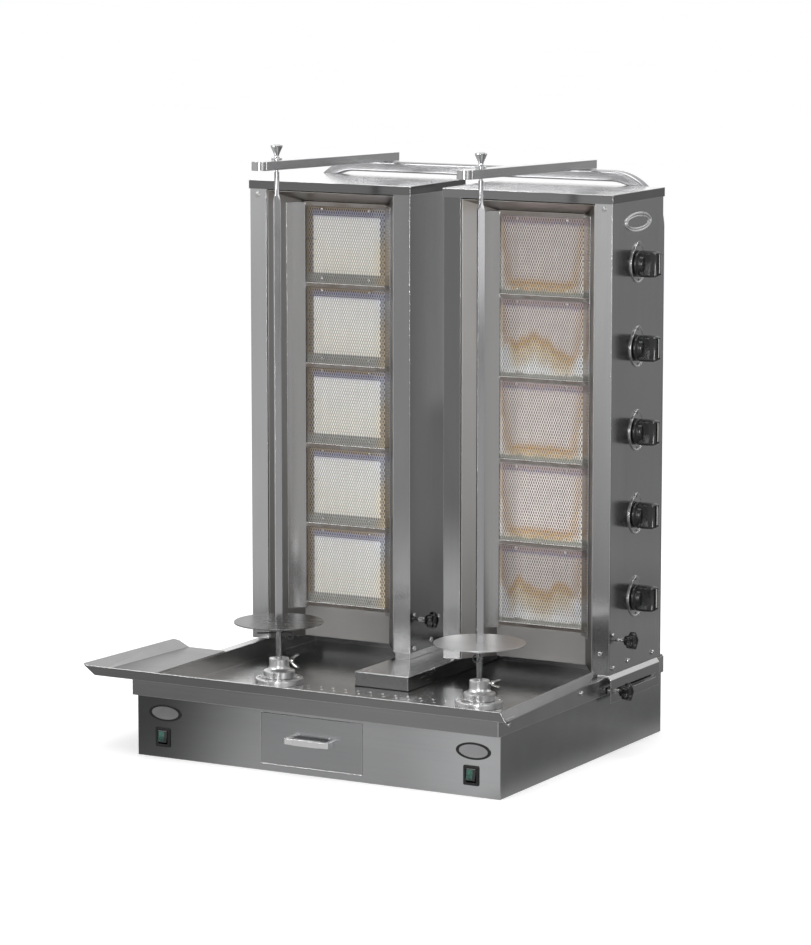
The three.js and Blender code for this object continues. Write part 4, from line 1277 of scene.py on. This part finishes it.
for side in SIDES:
    hub_x, hub_y, _ = hub_centre(side)
    finish = f"hub_{side}"
    at = (hub_x, hub_y, 0)
    hub = to_mesh(lathe(HUB_PROFILE, 112), f"turned_hub_mesh_{side}", finish, 24)
    item = place(f"turned_hub_{side}", hub, f"spit_{side}", "turned_aluminium", at)
    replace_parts(item, f"spit_hub_{side}")
    flange = to_mesh(lathe(FLANGE_PROFILE, 112), f"bearing_flange_mesh_{side}", finish, 24)
    place(f"bearing_flange_{side}", flange, "base", "turned_aluminium", at)


def wing_bolt_mesh():
    """Local +Z points out of the hub's neck; two wings spread in a V across local X."""
    shape = lathe(BOLT_PROFILE, 28)
    front = Vector((0, 1, 0))
    for way in (-1, 1):
        path = [Vector((way * x, 0, z)) for x, z, _ in WING]
        loops = []
        for k, centre in enumerate(path):
            along = (path[min(k + 1, 4)] - path[max(k - 1, 0)]).normalized()
            across = along.cross(front)
            width = WING[k][2]
            loop = []
            for i in range(14):
                angle = 2 * math.pi * i / 14
                wide = across * (width * math.cos(angle)) * 0.62
                loop.append(centre + wide + front * 1.15 * math.sin(angle))
            loops.append(loop)
        loft(loops, shape)
    return to_mesh(shape, "wing_bolt_mesh", "screw", 40)


wing_bolt = wing_bolt_mesh()
for side, yaw, tilt in WING_BOLTS:
    hub_x, hub_y, _ = hub_centre(side)
    up = Vector((0, 0, 1))
    out = Vector((math.cos(math.radians(yaw)), math.sin(math.radians(yaw)), 0.0))
    lean = math.radians(tilt)
    spread = (up.cross(out) * math.cos(lean) + up * math.sin(lean)).normalized()
    turn = Matrix((spread, out.cross(spread), out)).transposed().to_4x4()
    at = Vector((hub_x, hub_y, 150.0)) + out * 18.0
    place(f"hub_wing_bolt_{side}", wing_bolt, f"spit_{side}", "spit_steel", at, turn)


# ------------------------------------------------------------------ drain hole rims
HOLE_PITCH = 25.8
HOLE_START_X, HOLE_END_X = -297, 300
HOLE_ROWS = ((0, -97.0), (HOLE_PITCH / 2, -117.0))  # (x shift, y)
HUB_CLEARANCE = 48.3
TRAY_FLOOR_Z = 109.02
RIM_SECTION = ((2.65, 0.0), (3.35, 0.0), (3.25, 0.15), (2.9, 0.3), (2.65, 0.15))


def drain_rims_mesh():
    """Rims of two staggered rows of holes, left out round the hubs."""
    hubs = [hub_centre(side) for side in SIDES]
    shape = bmesh.new()
    for i in range(24):
        for shift, y in HOLE_ROWS:
            x = HOLE_START_X + HOLE_PITCH * i + shift
            nearest = min(math.hypot(x - hub[0], y - hub[1]) for hub in hubs)
            if x > HOLE_END_X or nearest < HUB_CLEARANCE:
                continue
            rows = add_rows(
                shape, [circle(r, TRAY_FLOOR_Z + h, 20, (x, y)) for r, h in RIM_SECTION]
            )
            bridge(shape, rows + rows[:1])
    return to_mesh(shape, "drain_hole_rims", "screw", 40)


place("drain_hole_rims", drain_rims_mesh(), "base", "brushed_stainless")


# ------------------------------------------------------------------ painted shadow: a dark strip under the cover
def cover_shadow_strip_mesh():
    low, high = box_mm("centre_channel_cover")
    left, right, front, back = low[0] - 0.5, high[0] + 0.5, low[1] - 0.5, high[1]
    plan = ((left, front), (right, front), (right, back), (left, back))
    loops = [[(x, y, z) for x, y in plan] for z in (109.05, 110.6)]
    return to_mesh(loft(loops), "cover_gasket", "dark_gap")


# a dark sheet laid where the shadow under the cover falls
place("cover_gasket", cover_shadow_strip_mesh(), "base", "black_plastic")


# ------------------------------------------------------------------ rear tube
TUBE_WIDTH, TUBE_DEPTH, TUBE_CORNER = 20.0, 22.0, 4.2
TUBE_Y = 301.5
TUBE_BEND = 100.0  # outer radius of the two top bends
FOOT_TOP_Z, FOOT_BOTTOM_Z = 145.2, 142.4
FOOT_INNER_X, FOOT_FRONT_Y, FOOT_BACK_Y = 349.9, 288.5, 318.5


def tube_mesh():
    """Round-cornered tube bent into an arch, on two foot plates."""
    high = box_mm("rear_frame")[1]
    outer_x, top = high[0], high[2]
    # outer edge of the tube up the right leg: (x, z, outward x, outward z)
    levels = (FOOT_TOP_Z, 300.0, 620.0, top - TUBE_BEND)
    stations = [(outer_x, z, 1.0, 0.0) for z in levels]
    for i in range(1, 25):
        angle = math.pi / 2 * i / 24
        out_x, out_z = math.cos(angle), math.sin(angle)
        x = outer_x - TUBE_BEND + TUBE_BEND * out_x
        stations.append((x, top - TUBE_BEND + TUBE_BEND * out_z, out_x, out_z))
    stations += [(-x, z, -out_x, out_z) for x, z, out_x, out_z in reversed(stations)]
    half = TUBE_WIDTH / 2
    section = rounded_rect(TUBE_WIDTH, TUBE_DEPTH, TUBE_CORNER)
    shape = loft([
        [(x - out_x * (half - u), TUBE_Y + v, z - out_z * (half - u)) for u, v in section]
        for x, z, out_x, out_z in stations
    ])
    for way in (-1, 1):
        left, right = sorted((way * FOOT_INNER_X, way * outer_x))
        front, back = FOOT_FRONT_Y, FOOT_BACK_Y
        plan = ((left, front), (right, front), (right, back), (left, back))
        loft([[(x, y, z) for x, y in plan] for z in (FOOT_BOTTOM_Z, FOOT_TOP_Z)], shape)
    return to_mesh(shape, "rear_tube_mesh", "tube", 40)


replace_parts(place("rear_tube", tube_mesh(), "base", "brushed_stainless"), "rear_frame")


# ------------------------------------------------------------------ floor (metres from here on)
def floor_material():
    """White floor that metal mirrors as soft light and dark areas round the broiler."""
    net = Surface("studio_floor")
    camera_ray, mirror_ray = net.light_path()
    patches = net.noise(scale=1.3, detail=2.0).fit(0.3, 0.7, 0.0, 1.0)
    white = net.mix(patches, (0.94, 0.94, 0.94), (0.96, 0.96, 0.96))
    x, y, z = net.xyz()
    far = net.vector("LENGTH", net.coord(), output="Value").step(0.85, 1.7)
    general = x.step(-0.70, -0.15).between(0.20, 0.50)
    general = general * (1.0 - far) + far * 0.52
    cloud = net.noise(scale=2.3, distortion=0.6)
    right = y.step(-0.3, 1.2).between(0.15, 0.24) * cloud.fit(0.3, 0.7, 0.75, 1.3, clamp=False)
    at_right = x.step(0.30, 0.46) * y.step(-0.65, -0.20)
    mirrored = general * (1.0 - at_right) + right * at_right
    net.set(
        Base_Color=net.mix(mirror_ray, white, (0.0, 0.0, 0.0)),
        Roughness=0.9,
        Specular_IOR_Level=0.0,
    )
    lift = camera_ray * 0.24  # brightens the floor for the camera only
    net.set(Emission_Color=net.grey(mirror_ray * mirrored + lift), Emission_Strength=1.0)
    return net.material


def build_floor(radius=90.0, height=-0.0005):
    shape = bmesh.new()
    shape.faces.new([shape.verts.new(point) for point in circle(radius, height, 64)])
    mesh = bpy.data.meshes.new("studio_floor")
    shape.to_mesh(mesh)
    shape.free()
    item = bpy.data.objects.new("studio_floor", mesh)
    bpy.context.scene.collection.objects.link(item)
    mesh.materials.append(floor_material())


build_floor()


# ------------------------------------------------------------------ world
# Brightness that metal mirrors, as (direction, level), for each axis from -1 to 1.
MIRROR_X = (
    (-1, 0.66), (-0.55, 0.52), (-0.15, 0.30), (0.25, 0.30), (0.45, 0.14), (0.75, 0.22),
    (1, 0.42),
)
MIRROR_Y = ((-1, 1.25), (-0.7, 1.05), (0, 0.8), (0.5, 1.1), (0.8, 2.2), (1, 2.2))
MIRROR_Z = ((-1, 0.5), (-0.1, 0.85), (0.05, 1.0), (0.35, 0.9), (0.8, 1.5), (1, 1.6))


def level_ramp(net, source, stops):
    node = net.node("ShaderNodeValToRGB", {0: source.fit(-1.0, 1.0, 0.0, 1.0)})
    node.color_ramp.interpolation = "EASE"
    elements = node.color_ramp.elements
    elements.remove(elements[1])
    first_level = stops[0][1]
    elements[0].color = (first_level, first_level, first_level, 1)
    for direction, level in stops[1:]:
        elements.new((direction + 1) / 2).color = (level, level, level, 1)
    return Value(net, node.outputs[0])


def build_world():
    """White to the camera, light grey as lighting, an uneven studio in mirrors."""
    world = bpy.data.worlds.new("studio")
    bpy.context.scene.world = world
    world.use_nodes = True
    net = Net(world.node_tree)
    directions = net.xyz(net.value("ShaderNodeTexCoord", output="Generated"))
    tables = (MIRROR_X, MIRROR_Y, MIRROR_Z)
    side, front, tall = [level_ramp(net, *pair) for pair in zip(directions, tables)]
    mirror = net.mix(1.0, net.mix(1.0, side, front, "MULTIPLY"), tall, "MULTIPLY")
    camera_ray, mirror_ray = net.light_path()
    colour = net.mix(mirror_ray, (0.80, 0.80, 0.80), mirror)
    colour = colour.toward((1, 1, 1), camera_ray)
    background = net.value("ShaderNodeBackground", {0: colour, 1: 1.0})
    net.node("ShaderNodeOutputWorld", {0: background})


build_world()


# ------------------------------------------------------------------ lights and camera
def area_light(name, at, aim_z, width, height, power):
    """Rectangular light aimed at a height on the broiler's middle axis."""
    light = bpy.data.lights.new(name, "AREA")
    light.shape = "RECTANGLE"
    light.size, light.size_y = width, height
    light.energy = power
    item = bpy.data.objects.new(name, light)
    bpy.context.scene.collection.objects.link(item)
    item.location = at
    aim = Vector((0, 0, aim_z)) - Vector(at)
    item.rotation_euler = aim.to_track_quat("-Z", "Y").to_euler()


area_light("key", (-2.6, -3.6, 3.0), aim_z=0.5, width=2.2, height=1.6, power=55)
area_light("fill", (3.6, -2.2, 2.0), aim_z=0.5, width=1.6, height=2.2, power=18)
area_light("top", (0.3, 0.4, 3.6), aim_z=0.4, width=2.4, height=2.0, power=40)
area_light("strip", (1.5, -4.7, 1.3), aim_z=0.4, width=0.5, height=2.2, power=52)
area_light("edge", (3.0, 2.6, 1.6), aim_z=0.5, width=0.5, height=1.8, power=10)

scene = bpy.context.scene
lens = bpy.data.cameras.new("photo_camera")
lens.lens = 150.94
lens.sensor_width = 36.0
lens.sensor_fit = "AUTO"
lens.clip_end = 300.0
camera = bpy.data.objects.new("photo_camera", lens)
scene.collection.objects.link(camera)
camera.location = (3.4567, -6.174, 1.5653)
camera.rotation_euler = (math.radians(81.4225), 0.0, math.radians(29.206))
scene.camera = camera
scene.view_settings.view_transform = "Standard"
scene.view_settings.look = "None"
